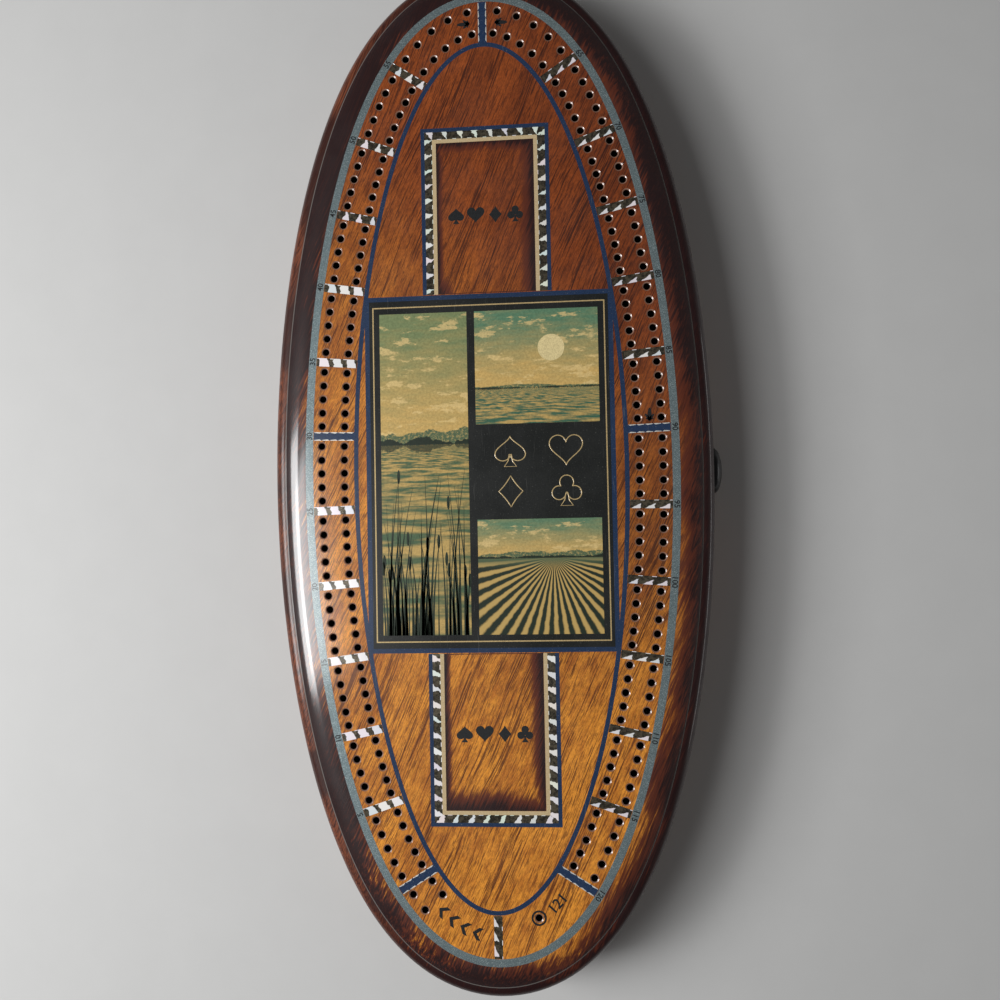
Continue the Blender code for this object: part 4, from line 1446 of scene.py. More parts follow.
@dataclass
class PlayingTop(Assembly):
    """The thick oval top: its drilled face and its moulded edge."""

    track: PegTrack
    face_drop: float = 0.06 * MM
    hole_mouth: float = 2.08 * MM
    hole_throat: float = 1.55 * MM
    hole_radius: float = 1.45 * MM
    hole_edge: float = 0.3 * MM
    hole_depth: float = 11.0 * MM
    hole_tip_share: float = 0.05
    hole_sides: int = 20
    flat_edge: float = 20.5 * MM
    shoulder_start: float = 23.4 * MM
    shoulder_drop: float = 2.4 * MM
    quirk_offset: float = 32.3 * MM
    quirk_width: float = 0.6 * MM
    quirk_drop: float = 0.6 * MM
    ovolo_drop: float = 5.0 * MM
    rim_offset: float = 38.1 * MM
    wall_gap: float = 1.0 * MM
    arc_steps: int = 12
    # Offsets and widths of the painted highlight lines along the moulding's edges.
    worn_lines: tuple[tuple[float, float], ...] = ((32.6 * MM, 0.4 * MM), (38.05 * MM, 0.08 * MM))
    trim_inset: float = 1.8 * MM

    def profile(self, face: float, bottom: float) -> list[tuple[float, float]]:
        """Return the moulding from the flat face outwards and down, as offset and height.

        Args:
            face: The height of the face.
            bottom: The height of the underside.

        Returns:
            The pairs.
        """
        points = [(self.flat_edge, face), (self.shoulder_start, face)]
        width = self.quirk_offset - self.shoulder_start
        for step in range(1, self.arc_steps + 1):
            share = step / self.arc_steps
            points.append((self.shoulder_start + width * share, face - self.shoulder_drop * share ** 2))
        shelf = face - self.shoulder_drop - self.quirk_drop
        points.append((self.quirk_offset, shelf))
        start = self.quirk_offset + self.quirk_width
        width = self.rim_offset - start
        for step in range(self.arc_steps + 1):
            turn = math.pi / 2 * step / self.arc_steps
            points.append((start + width * math.sin(turn), shelf - self.ovolo_drop * (1 - math.cos(turn))))
        points.append((self.rim_offset, bottom))
        return points

    def mesh(self) -> Mesh:
        """Build the face with its holes, the moulding and the underside in one closed mesh.

        Returns:
            The mesh.
        """
        low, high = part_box("playing_top")
        face, oval = high.z - self.face_drop, self.track.oval
        draft = Draft()
        mouth = self.hole_mouth
        holes = self.track.holes()
        circle = spokes(self.hole_sides)
        loops = [oval.ring(self.flat_edge)] + [[hole + spoke * mouth for spoke in circle] for hole in holes]
        draft.absorb(filled(loops, face, face, merge=False))
        steps = [(mouth, 0.0, 0), (self.hole_throat, self.hole_edge, 1),
                 (self.hole_radius, self.hole_edge * 4, 1),
                 (self.hole_radius, self.hole_depth - self.hole_radius, 1),
                 (self.hole_radius * self.hole_tip_share, self.hole_depth, 1)]
        for hole in holes:
            rings = [(draft.ring([hole + spoke * radius for spoke in circle], face - drop), slot)
                     for radius, drop, slot in steps]
            runs = [0.0] * (self.hole_sides + 1)
            for (before, _), (after, slot) in pairwise(rings):
                draft.band(before, after, runs, (0.0, 0.0), slot)
            draft.face(rings[-1][0], slot=1)
        profile = self.profile(face, low.z)
        rings = [draft.ring(oval.ring(offset), height) for offset, height in profile]
        runs = oval.runs(self.flat_edge)
        for (before, after), (inner, outer) in zip(pairwise(profile[:-1]), pairwise(rings[:-1])):
            draft.band(inner, outer, runs, (before[0], after[0]))
        wall_start, wall_end = self.rim_offset + self.wall_gap, self.rim_offset + profile[-2][1] - low.z
        draft.band(rings[-2], rings[-1], runs, (wall_start, wall_end))
        draft.face(rings[-1], [(run, wall_end) for run in runs[:-1]])
        return draft.mesh(crease=25.0)

    def build(self) -> None:
        """Build and dress the top."""
        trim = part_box("crib_trim")
        wood = VarnishedWood("burnt_varnished_wood", "burnt_wood", worn_lines=self.worn_lines,
                             frame_half_width=trim[1].x - self.trim_inset,
                             frame_end=trim[1].y - self.trim_inset, frame_start=trim[0].y,
                             rim_start=self.track.ring_offset)
        drilled = DrilledWood("drilled_wood", "burnt_wood")
        self.show("playing_top_looks", self.mesh(), [wood, drilled], "playing_top")


@dataclass
class TrackInlays(Assembly):
    """The score ring with its numbers, the blue oval with its street bars, and the foil bars."""

    track: PegTrack
    film: float = 0.25 * MM
    line_width: float = 2.0 * MM
    bar_width: float = 3.8 * MM
    bar_gap: float = 0.15 * MM
    digit_height: float = 2.5 * MM
    digit_thickness: float = 0.02 * MM
    edging_width: float = 0.55 * MM
    far_angle: float = 1.0
    foil_period: float = 6.3 * MM
    foil_seeds: int = 3
    tooth_pitch: float = 3.4 * MM
    tooth_share: float = 0.9
    sink: float = 0.02 * MM
    proud: float = 0.01 * MM

    @property
    def face(self) -> float:
        """The height of the films' upper side."""
        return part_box("score_ring")[1].z - self.sink

    def oval_strip(self, inner: float, outer: float) -> Mesh:
        """Build a closed film strip that follows the oval.

        Args:
            inner: The offset of its inner edge.
            outer: That of its outer edge.

        Returns:
            The mesh.
        """
        draft, oval = Draft(), self.track.oval
        low, high = self.face - self.film, self.face
        corners = [(inner, low), (inner, high), (outer, high), (outer, low), (inner, low)]
        rings = [draft.ring(oval.ring(offset), height) for offset, height in corners]
        runs = oval.runs((inner + outer) / 2)
        for (before, after), (first, second) in zip(pairwise(corners), pairwise(rings)):
            draft.band(first, second, runs, (before[0] - inner, after[0] - inner))
        return draft.mesh()

    def bar(self, draft: Draft, angle: float, inner: float, outer: float, drop: float = 0.0) -> None:
        """Add a bar across the track, with its strip map along its length from the edge nearer -Y.

        Args:
            draft: The mesh to add to.
            angle: Where the bar lies round the oval.
            inner: The offset of its inner end.
            outer: That of its outer end.
            drop: How far its upper side lies under the films' face.
        """
        place = self.track.frame_at(angle, inner, 0.0)
        half, length = self.bar_width / 2, outer - inner
        corners = [(-half, 0.0), (half, 0.0), (half, length), (-half, length)]
        side = -1 if angle > 0 else 1
        strip = [(y, side * x + half) for x, y in corners]
        draft.slab(corners, (self.face - self.film, self.face - drop), strip, place)

    def street_edging(self, angles: Sequence[float]) -> Mesh:
        """Build the row of small teeth of painted glint along both sides of each street bar.

        Args:
            angles: Where the bars lie round the oval.

        Returns:
            The mesh.
        """
        draft = Draft()
        low, high = self.face - self.film, self.face + self.proud
        length = self.track.ring_offset - 2 * self.bar_gap
        count = int(length / self.tooth_pitch)
        for angle in angles:
            place = self.track.frame_at(angle, self.bar_gap, 0.0)
            for side in (-1, 1):
                edge = side * self.bar_width / 2
                for index in range(count):
                    start = length * index / count
                    end = start + length / count * self.tooth_share
                    deep, rest = edge - side * self.edging_width, edge - side * self.edging_width * 0.5
                    points = [(edge, start), (deep, start * 0.7 + end * 0.3), (rest, end), (edge, end)]
                    draft.slab(points, (low, high), [(y, 0.0) for _, y in points], place)
        return draft.mesh(crease=10.0, merge=False)

    def numbers(self, bars: Sequence[tuple[int, float, bool]]) -> Mesh:
        """Build the scores as small digits along the ring, read clockwise.

        Args:
            bars: The score, the angle and whether it ends a street, for each bar.

        Returns:
            The mesh.
        """
        draft = Draft()
        middle = self.track.ring_offset + self.track.ring_width / 2
        for score, angle, _ in bars:
            if score > 0:
                digits = text_mesh(str(score), self.digit_height, self.digit_thickness)
                draft.absorb(digits, self.track.frame_at(angle, middle, self.face))
        return draft.mesh(merge=False)

    def build(self) -> None:
        """Build and dress the inlays of the track."""
        track = self.track
        silver = SilverFilm("silver_flake_film", "silver_film")
        ring = self.oval_strip(track.ring_offset, track.ring_offset + track.ring_width)
        self.show("score_ring_looks", ring, [silver], "score_ring")
        self.show("score_numbers", self.numbers(track.bars()), [BLACK_PRINT])
        draft = Draft()
        draft.absorb(self.oval_strip(-self.line_width, 0.0))
        streets = [angle for _, angle, street in track.bars() if street]
        for angle in streets:
            self.bar(draft, angle, -self.line_width / 2, track.ring_offset - self.bar_gap, self.proud)
        self.show("inner_oval_line_looks", draft.mesh(merge=False), [BLUE_FILM], "inner_oval_line")
        # The near-white teeth are painted glints along the street bars' edges.
        glint = Ink("bright_edging", "prismatic_foil", colour=display(232, 232, 225), metallic=0.3)
        self.show("street_bar_edging", self.street_edging(streets), [glint])
        places = [(f"foil_bar_{score}", angle) for score, angle, street in track.bars() if not street]
        places.append(("foil_bar_end", math.pi))
        for number, (name, angle) in enumerate(places):
            draft = Draft()
            self.bar(draft, angle, self.bar_gap, track.ring_offset - self.bar_gap)
            # Painted highlight: the glint shapes differ by side, with the left bars towards the lamps and
            # those near the +Y end on the left set apart.
            light = BarLight.LEFT
            if angle > 0:
                light = BarLight.RIGHT
            elif abs(angle) < self.far_angle:
                light = BarLight.FAR
            share, taper, ramp = light.value
            seed = number % self.foil_seeds
            foil = FoilFilm(f"bar_foil_{light.name.lower()}_{seed}", "prismatic_foil", seed=float(seed),
                            width=self.bar_width, share=share, taper=taper, ramp=ramp,
                            period=self.foil_period)
            self.show(name + "_looks", draft.mesh(crease=10.0), [foil], name)


def text_mesh(body: str, height: float, thickness: float) -> Mesh:
    """Turn digits in the built-in font into a mesh about the middle of their line.

    Args:
        body: The digits.
        height: Their height.
        thickness: Their thickness.

    Returns:
        The mesh.
    """
    curve = bpy.data.curves.new("digits", "FONT")
    curve.body = body
    curve.size = height / FONT_HEIGHT_SHARE
    curve.align_x = "CENTER"
    curve.align_y = "CENTER"
    curve.extrude = thickness / 2
    curve.offset = height * FONT_WEIGHT
    curve.resolution_u = 3
    return evaluated_mesh(bpy.data.objects.new("digits", curve))


@dataclass
class CardFrames(Assembly):
    """The two frames for the crib and the deck: a blue line, a foil band and a cream trim."""

    film: float = 0.25 * MM
    line_width: float = 1.75 * MM
    foil_width: float = 3.5 * MM
    trim_width: float = 1.75 * MM
    sink: float = 0.02 * MM

    @dataclass(frozen=True)
    class Band:
        """One band of a frame."""

        kind: str
        width: float
        finish: Finish

    def strip(self, draft: Draft, ends: Sequence[tuple[Vector, Vector]], width: float, face: float) -> None:
        """Add the runs of a three-sided band.

        Args:
            draft: The mesh to add to.
            ends: The outer and the inner point at each end and corner, in order.
            width: The band's width.
            face: The height of its upper side.
        """
        run = 0.0
        for (outer, inner), (next_outer, next_inner) in pairwise(ends):
            length = (next_outer - outer).length
            along = (next_outer - outer).normalized()
            corners = [outer, next_outer, next_inner, inner]
            strip = [(run + (corner - outer).dot(along), 0.0 if index < 2 else width)
                     for index, corner in enumerate(corners)]
            draft.slab(corners, (face - self.film, face), strip)
            run += length

    def build(self) -> None:
        """Build and dress both frames."""
        cream = Film("cream_film_looks", "cream_film", colour=display(214, 192, 152),
                     deep=display(192, 168, 126))
        for place, side in (("crib", 1), ("deck", -1)):
            foil = FoilFilm(f"{place}_foil", "prismatic_foil", width=self.foil_width, seed=float(5 + side),
                            share=0.37, taper=0.7 + 0.15 * side, lean=0.32)
            low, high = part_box(f"{place}_frame")
            half = high.x
            start, end = (low.y, high.y) if side > 0 else (high.y, low.y)
            for band in (self.Band("frame", self.line_width, BLUE_FILM),
                         self.Band("foil", self.foil_width, foil),
                         self.Band("trim", self.trim_width, cream)):
                node = f"{place}_{band.kind}"
                inner, near = half - band.width, end - side * band.width
                ends = [(Vector((-half, start)), Vector((-inner, start))),
                        (Vector((-half, end)), Vector((-inner, near))),
                        (Vector((half, end)), Vector((inner, near))),
                        (Vector((half, start)), Vector((inner, start)))]
                draft = Draft()
                self.strip(draft, ends, band.width, high.z - self.sink)
                self.show(node + "_looks", draft.mesh(crease=10.0), [band.finish], node)
                half, end = inner, near


def suit_outline(suit: Suit, size: float) -> list[list[Vector]]:
    """Return the outline of a card suit.

    Args:
        suit: The suit.
        size: Its height.

    Returns:
        One or more closed outlines about the origin.
    """
    half = size / 2
    if suit is Suit.DIAMOND:
        tips = [Vector((spoke.x * 0.78, spoke.y)) for spoke in spokes(4)]
        points = []
        for quarter in range(4):
            for step in range(6):
                share = step / 6
                tip, after = tips[quarter], tips[(quarter + 1) % 4]
                pull = 1 - 0.35 * share * (1 - share)
                points.append(tip.lerp(after, share) * pull * half)
        return [points]
    turns = [math.tau * step / 48 for step in range(48)]
    heart = [Vector((16 * math.sin(t) ** 3, 13 * math.cos(t) - 5 * math.cos(2 * t) - 2 * math.cos(3 * t)
                     - math.cos(4 * t) + 2.5)) / 15 * half for t in turns]
    if suit is Suit.HEART:
        return [heart]
    corners = ((-0.08, -0.2), (-0.14, -0.62), (-0.4, -0.98), (0.4, -0.98), (0.14, -0.62), (0.08, -0.2))
    stem = [Vector((x * half, y * half)) for x, y in corners]
    if suit is Suit.SPADE:
        leaf = [Vector((p.x * 0.92, 0.18 * half - p.y * 0.82)) for p in heart]
        return [leaf, stem]
    middle, lobe = Vector((0, 0.1)), 0.44
    club = []
    for ray in spokes(144):
        reach = 0.24
        for centre in (Vector((0.0, 0.42)), Vector((-0.5, -0.26)), Vector((0.5, -0.26))):
            under = centre.dot(ray) ** 2 + lobe ** 2 - centre.length_squared
            if under >= 0:
                reach = max(reach, centre.dot(ray) + math.sqrt(under))
        club.append((middle + ray * reach) * half)
    return [club, stem]


def pip_mesh(suit: Suit, size: float, bottom: float, top: float, place: Matrix) -> Mesh:
    """Build a solid pip of a card suit at a place.

    Args:
        suit: The suit.
        size: Its height.
        bottom: The height of its underside.
        top: The height of its upper side.
        place: Where it goes.

    Returns:
        The mesh.
    """
    draft = Draft()
    for number, outline in enumerate(suit_outline(suit, size)):
        lift = number * 0.004 * MM
        draft.absorb(filled([outline], bottom, top + lift), place)
    return draft.mesh(merge=False)


def wire_loop(draft: Draft, outline: Outline, radius: float, place: Matrix) -> None:
    """Add a thin closed wire, pressed flat, along an outline.

    Args:
        draft: The mesh to add to.
        outline: The outline.
        radius: The wire's radius.
        place: Where it goes.
    """
    curve = bpy.data.curves.new("wire", "CURVE")
    curve.dimensions = "3D"
    curve.bevel_depth = radius
    curve.bevel_resolution = 2
    spline = curve.splines.new("POLY")
    spline.points.add(len(outline) - 1)
    spline.use_cyclic_u = True
    for control, point in zip(spline.points, outline):
        control.co = (point.x, point.y, 0, 1)
    flat = Matrix.Diagonal((1, 1, WIRE_FLATNESS, 1))
    draft.absorb(evaluated_mesh(bpy.data.objects.new("wire", curve)), place @ flat)


@dataclass
class PrintedMarks(Assembly):
    """Small black prints on the face: pips in the frames, chevrons, a home ring and sprigs."""

    track: PegTrack
    ink: float = 0.05 * MM
    pip_size: float = 7.5 * MM
    pip_pitch: float = 9.0 * MM
    chevron: float = 5.6 * MM
    chevron_run: float = 18.0 * MM
    chevron_pitch: float = 6.0 * MM
    chevron_count: int = 4
    home_outer: float = 3.4 * MM
    home_inner: float = 2.5 * MM
    home_sides: int = 48
    home_digits: float = 4.6 * MM
    digits_before: float = 11.0 * MM
    digits_outside: float = 1.0 * MM
    sprig_length: float = 6.0 * MM
    sprig_run: float = 6.5 * MM
    sprig_lean: float = 1.4
    street_sprig_run: float = 4.0 * MM
    street_sprig_lean: float = 1.5
    leaf_width_share: float = 0.15
    leaf_foot_share: float = 0.15
    leaf_sides: int = 24
    leaves: tuple[tuple[float, float], ...] = (
        (0.0, 1.0), (0.7, 0.66), (-0.7, 0.66), (1.4, 0.45), (-1.4, 0.45))
    sink: float = 0.03 * MM

    @property
    def face(self) -> float:
        """The height of the ink's upper side."""
        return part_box("playing_top")[1].z - self.sink

    def pips(self) -> Mesh:
        """Build a row of the four suits in each card frame.

        Returns:
            The mesh.
        """
        draft = Draft()
        for node in ("crib_trim", "deck_trim"):
            low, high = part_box(node)
            middle = (low + high) / 2
            for index, suit in enumerate(Suit):
                place = Matrix.Translation((middle.x + (index - 1.5) * self.pip_pitch, middle.y, 0))
                draft.absorb(pip_mesh(suit, self.pip_size, self.face - self.ink, self.face, place))
        return draft.mesh(merge=False)

    def chevrons(self) -> Mesh:
        """Build the chevrons that point from the end bar to the start bar.

        Returns:
            The mesh.
        """
        draft = Draft()
        half, thick = self.chevron / 2, self.chevron * 0.36
        shape = [Vector((0, -half)), Vector((half * 0.9, 0)), Vector((0, half)), Vector((-thick, half)),
                 Vector((half * 0.9 - thick, 0)), Vector((-thick, -half))]
        for index in range(self.chevron_count):
            run = self.track.bar_runs[-1] + self.chevron_run + self.chevron_pitch * index
            place = self.track.frame_at(-self.track.angle_at(run), self.track.ring_offset * 0.5, 0.0)
            draft.absorb(filled([shape], self.face - self.ink, self.face), place)
        return draft.mesh(merge=False)

    def home(self) -> Mesh:
        """Build the ring round the home hole and the plain last score beside it.

        Returns:
            The mesh.
        """
        draft = Draft()
        hole = self.track.home_hole()
        loops = [[hole + spoke * radius for spoke in spokes(self.home_sides)]
                 for radius in (self.home_outer, self.home_inner)]
        draft.absorb(filled(loops, self.face - self.ink, self.face))
        angle = self.track.angle_at(self.track.bar_runs[-1] + self.track.home_run - self.digits_before)
        number = text_mesh("121", self.home_digits, self.ink)
        spot = self.track.frame_at(angle, self.track.home_offset + self.digits_outside,
                                   self.face - self.ink / 2)
        draft.absorb(number, spot @ Matrix.Rotation(math.pi, 4, "Z"))
        return draft.mesh(merge=False)

    def sprigs(self) -> Mesh:
        """Build three small leaf sprigs on the track.

        Returns:
            The mesh.
        """
        draft = Draft()
        size = self.sprig_length
        between = (self.track.inner_row + self.track.outer_row) / 2
        halfway = self.track.angle_at(self.sprig_run)
        street_run = self.track.bar_runs[self.track.groups_a_street] - self.street_sprig_run
        for angle, lean in ((-halfway, self.sprig_lean), (halfway, -self.sprig_lean),
                            (self.track.angle_at(street_run), self.street_sprig_lean)):
            spot = self.track.frame_at(angle, between, 0.0) @ Matrix.Rotation(lean, 4, "Z")
            for turn, length in self.leaves:
                blade = [Vector((ray.y * size * length * self.leaf_width_share,
                                 (0.5 - 0.5 * ray.x) * size * length)) for ray in spokes(self.leaf_sides)]
                place = spot @ Matrix.Rotation(turn, 4, "Z")
                place = place @ Matrix.Translation((0, -size * self.leaf_foot_share, 0))
                draft.absorb(filled([blade], self.face - self.ink, self.face), place)
        return draft.mesh(merge=False)

    def build(self) -> None:
        """Build and dress the prints."""
        self.show("frame_pips", self.pips(), [BLACK_PRINT])
        self.show("start_chevrons", self.chevrons(), [BLACK_PRINT])
        self.show("home_mark", self.home(), [BLACK_PRINT])
        self.show("track_sprigs", self.sprigs(), [BLACK_PRINT])


@dataclass
class CentrePanel(Assembly):
    """The black plate in its blue border, with three printed views and four gold suits."""

    oval: BoardOval
    border_width: float = 2.1 * MM
    border_film: float = 0.25 * MM
    border_sink: float = 0.04 * MM
    plate_sink: float = 0.05 * MM
    tuck: float = 0.4 * MM
    gold_half_width: float = 52.8 * MM
    gold_half_length: float = 76.2 * MM
    line_width: float = 0.55 * MM
    print_inset: float = 3.2 * MM
    column: float = 40.0 * MM
    gap: float = 3.5 * MM
    block: float = 36.0 * MM
    print_film: float = 0.04 * MM
    reed_count: int = 70
    reed_seed: int = 7
    seed_head_share: float = 0.2
    sun_radius: float = 6.0 * MM
    sun_place: tuple[float, float] = (0.62, 0.66)
    sun_sides: int = 48
    suit_size: float = 14.0 * MM
    wire_radius: float = 0.22 * MM

    @property
    def face(self) -> float:
        """The height of the plate's upper side."""
        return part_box("centre_plate")[1].z - self.plate_sink

    def layout(self) -> dict[str, tuple[Vector, Vector]]:
        """Return the lower and upper corner of each picture and of the black block.

        Returns:
            The corners by name.
        """
        x, y = self.gold_half_width - self.print_inset, self.gold_half_length - self.print_inset
        left = -x + self.column
        half = self.block / 2
        return {
            "reed_view": (Vector((-x, -y)), Vector((left, y))),
            "sun_view": (Vector((left + self.gap, half + self.gap)), Vector((x, y))),
            "suit_block": (Vector((left + self.gap, -half)), Vector((x, half))),
            "field_view": (Vector((left + self.gap, -y)), Vector((x, -half - self.gap))),
        }

    def sheet(self, low: Vector, high: Vector) -> Mesh:
        """Build one printed sheet, with its map in metres from its lower corner.

        Args:
            low: The picture's lower corner.
            high: Its upper corner.

        Returns:
            The mesh.
        """
        draft = Draft()
        corners = [(low.x, low.y), (high.x, low.y), (high.x, high.y), (low.x, high.y)]
        strip = [(x - low.x, y - low.y) for x, y in corners]
        draft.slab(corners, (self.face - self.print_film, self.face + self.print_film / 2), strip)
        return draft.mesh(crease=10.0)

    def reeds(self, low: Vector, high: Vector) -> Mesh:
        """Build leaning reed blades and a few seed heads at the foot of the tall picture.

        Args:
            low: The picture's lower corner.
            high: Its upper corner.

        Returns:
            The mesh.
        """
        draft, draw = Draft(), random.Random(self.reed_seed)
        bottom, top = self.face - self.print_film, self.face + self.print_film * 0.8
        for _ in range(self.reed_count):
            foot = draw.uniform(low.x + 1.0 * MM, high.x - 1.0 * MM)
            tall = draw.uniform(0.15, 0.52) * (high.y - low.y)
            lean = draw.uniform(-0.12, 0.12) * tall
            wide = draw.uniform(0.25, 0.6) * MM
            spine = []
            for step in range(7):
                share = step / 6
                x = min(max(foot + lean * share ** 2, low.x + wide), high.x - wide)
                spine.append((Vector((x, low.y + tall * share)), wide * (1 - share) + 0.05 * MM))
            outline = [point + Vector((side, 0)) for point, side in spine]
            outline += [point - Vector((side, 0)) for point, side in reversed(spine)]
            draft.absorb(filled([outline], bottom, top))
            if draw.random() < self.seed_head_share:
                head, half = spine[-1][0], 1.0 * MM
                seed = [head + Vector((ray.x * half * 0.7, ray.y * half * 3.2)) for ray in spokes(16)]
                draft.absorb(filled([seed], bottom, top))
        return draft.mesh(merge=False)

    def rectangle_line(self) -> Mesh:
        """Build the thin gold line near the plate's edge.

        Returns:
            The mesh.
        """
        outer = (self.gold_half_width, self.gold_half_length)
        inner = (outer[0] - self.line_width, outer[1] - self.line_width)
        loops = [[Vector((x * sx, y * sy)) for sx, sy in ((1, 1), (-1, 1), (-1, -1), (1, -1))]
                 for x, y in (outer, inner)]
        return filled(loops, self.face - self.print_film, self.face + self.print_film / 2)

    def suits(self, low: Vector, high: Vector) -> Mesh:
        """Build the four suits in thin gold outline on the black block.

        Args:
            low: The block's lower corner.
            high: Its upper corner.

        Returns:
            The mesh.
        """
        draft = Draft()
        middle = (low + high) / 2
        reach = Vector(((high.x - low.x) / 4, (high.y - low.y) / 4))
        for suit, (sx, sy) in zip(Suit, ((-1, 1), (1, 1), (-1, -1), (1, -1))):
            place = Matrix.Translation((middle.x + sx * reach.x * 0.9, middle.y + sy * reach.y, self.face))
            for outline in suit_outline(suit, self.suit_size):
                wire_loop(draft, outline, self.wire_radius, place)
        return draft.mesh(merge=False)

    def sun(self, low: Vector, high: Vector) -> Mesh:
        """Build the pale sun in the upper picture.

        Args:
            low: The picture's lower corner.
            high: Its upper corner.

        Returns:
            The mesh.
        """
        across, up = self.sun_place
        middle = Vector((low.x + (high.x - low.x) * across, low.y + (high.y - low.y) * up))
        loop = [middle + spoke * self.sun_radius for spoke in spokes(self.sun_sides)]
        return filled([loop], self.face - self.print_film, self.face + self.print_film * 0.8)

    def build(self) -> None:
        """Build and dress the panel."""
        black = Film("black_plate_looks", "black_film", colour=display(34, 36, 34),
                     deep=display(22, 24, 24), speck_share=0.12)
        gold = Ink("gold_line", "cream_film", colour=display(206, 180, 128), metallic=0.2)
        green = Ink("green_black_print", "black_film", colour=display(36, 50, 36))
        pale = Ink("pale_print", "cream_film", colour=display(238, 218, 160))
        self.border()
        low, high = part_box("centre_plate")
        low, high = low - Vector((self.tuck, self.tuck, 0)), high + Vector((self.tuck, self.tuck, 0))
        corners = [Vector((x, y)) for x, y in ((high.x, high.y), (low.x, high.y),
                                               (low.x, low.y), (high.x, low.y))]
        plate = filled([corners], low.z, self.face)
        self.show("centre_plate_looks", plate, [black], "centre_plate")
        self.show("gold_line", self.rectangle_line(), [gold])
        layout = self.layout()
        tall = layout["reed_view"]
        reed_view = PrintedView("reed_print", "black_film", horizon=86.0 * MM, ridge=14.0 * MM,
                                ridge_pitch=13.0 * MM, height=146.0 * MM, seed=3.0)
        self.show("reed_view", self.sheet(*tall), [reed_view])
        self.show("printed_reeds", self.reeds(*tall), [green])
        sun_view = PrintedView("sun_print", "black_film", horizon=16.0 * MM, ridge=3.0 * MM, seed=8.0,
                               ridge_pitch=16.0 * MM, height=52.0 * MM, water_dark=display(62, 104, 82),
                               sky_high=display(96, 134, 104))
        self.show("sun_view", self.sheet(*layout["sun_view"]), [sun_view])
        self.show("printed_sun", self.sun(*layout["sun_view"]), [pale])
        field_view = FurrowedField("field_print", "black_film", horizon=34.0 * MM, ridge=6.0 * MM, seed=5.0,
                                   ridge_pitch=10.0 * MM, height=52.0 * MM, vanish_at=34.0 * MM,
                                   sky_high=display(104, 136, 104))
        self.show("field_view", self.sheet(*layout["field_view"]), [field_view])
        self.show("gold_suits", self.suits(*layout["suit_block"]), [gold])

    def border(self) -> None:
        """Build the blue border, whose corners stop at the oval line."""
        low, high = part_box("centre_border")
        top = high.z - self.border_sink
        loops = []
        for inset in (0.0, self.border_width):
            x, y = high.x - inset, high.y - inset
            loops.append([Vector((x, y)), Vector((-x, y)), Vector((-x, -y)), Vector((x, -y))])
        mesh = filled(loops, top - self.border_film, top)
        self.show("centre_border_looks", mesh, [BLUE_FILM], "centre_border")


def carved(mesh: Mesh, low: Vector, high: Vector, operation: str) -> Mesh:
    """Cut a box out of a mesh, or keep only what lies inside the box.

    Args:
        mesh: The mesh.
        low: The box's lower corner.
        high: The box's upper corner.
        operation: DIFFERENCE to cut the box out, INTERSECT to keep what lies inside it.

    Returns:
        The carved mesh.
    """
    cage = bmesh.new()
    middle = Matrix.Translation((low + high) / 2) @ Matrix.Diagonal((*(high - low), 1))
    bmesh.ops.create_cube(cage, size=1, matrix=middle)
    box = bpy.data.meshes.new("box")
    cage.to_mesh(box)
    cage.free()
    cutter = bpy.data.objects.new("cutter", box)
    bpy.context.scene.collection.objects.link(cutter)
    blank = bpy.data.objects.new("blank", mesh)
    boolean = blank.modifiers.new("carve", "BOOLEAN")
    boolean.operation = operation
    boolean.object = cutter
    made = evaluated_mesh(blank)
    bpy.data.objects.remove(cutter)
    made.set_sharp_from_angle(angle=math.radians(CREASE))
    return made


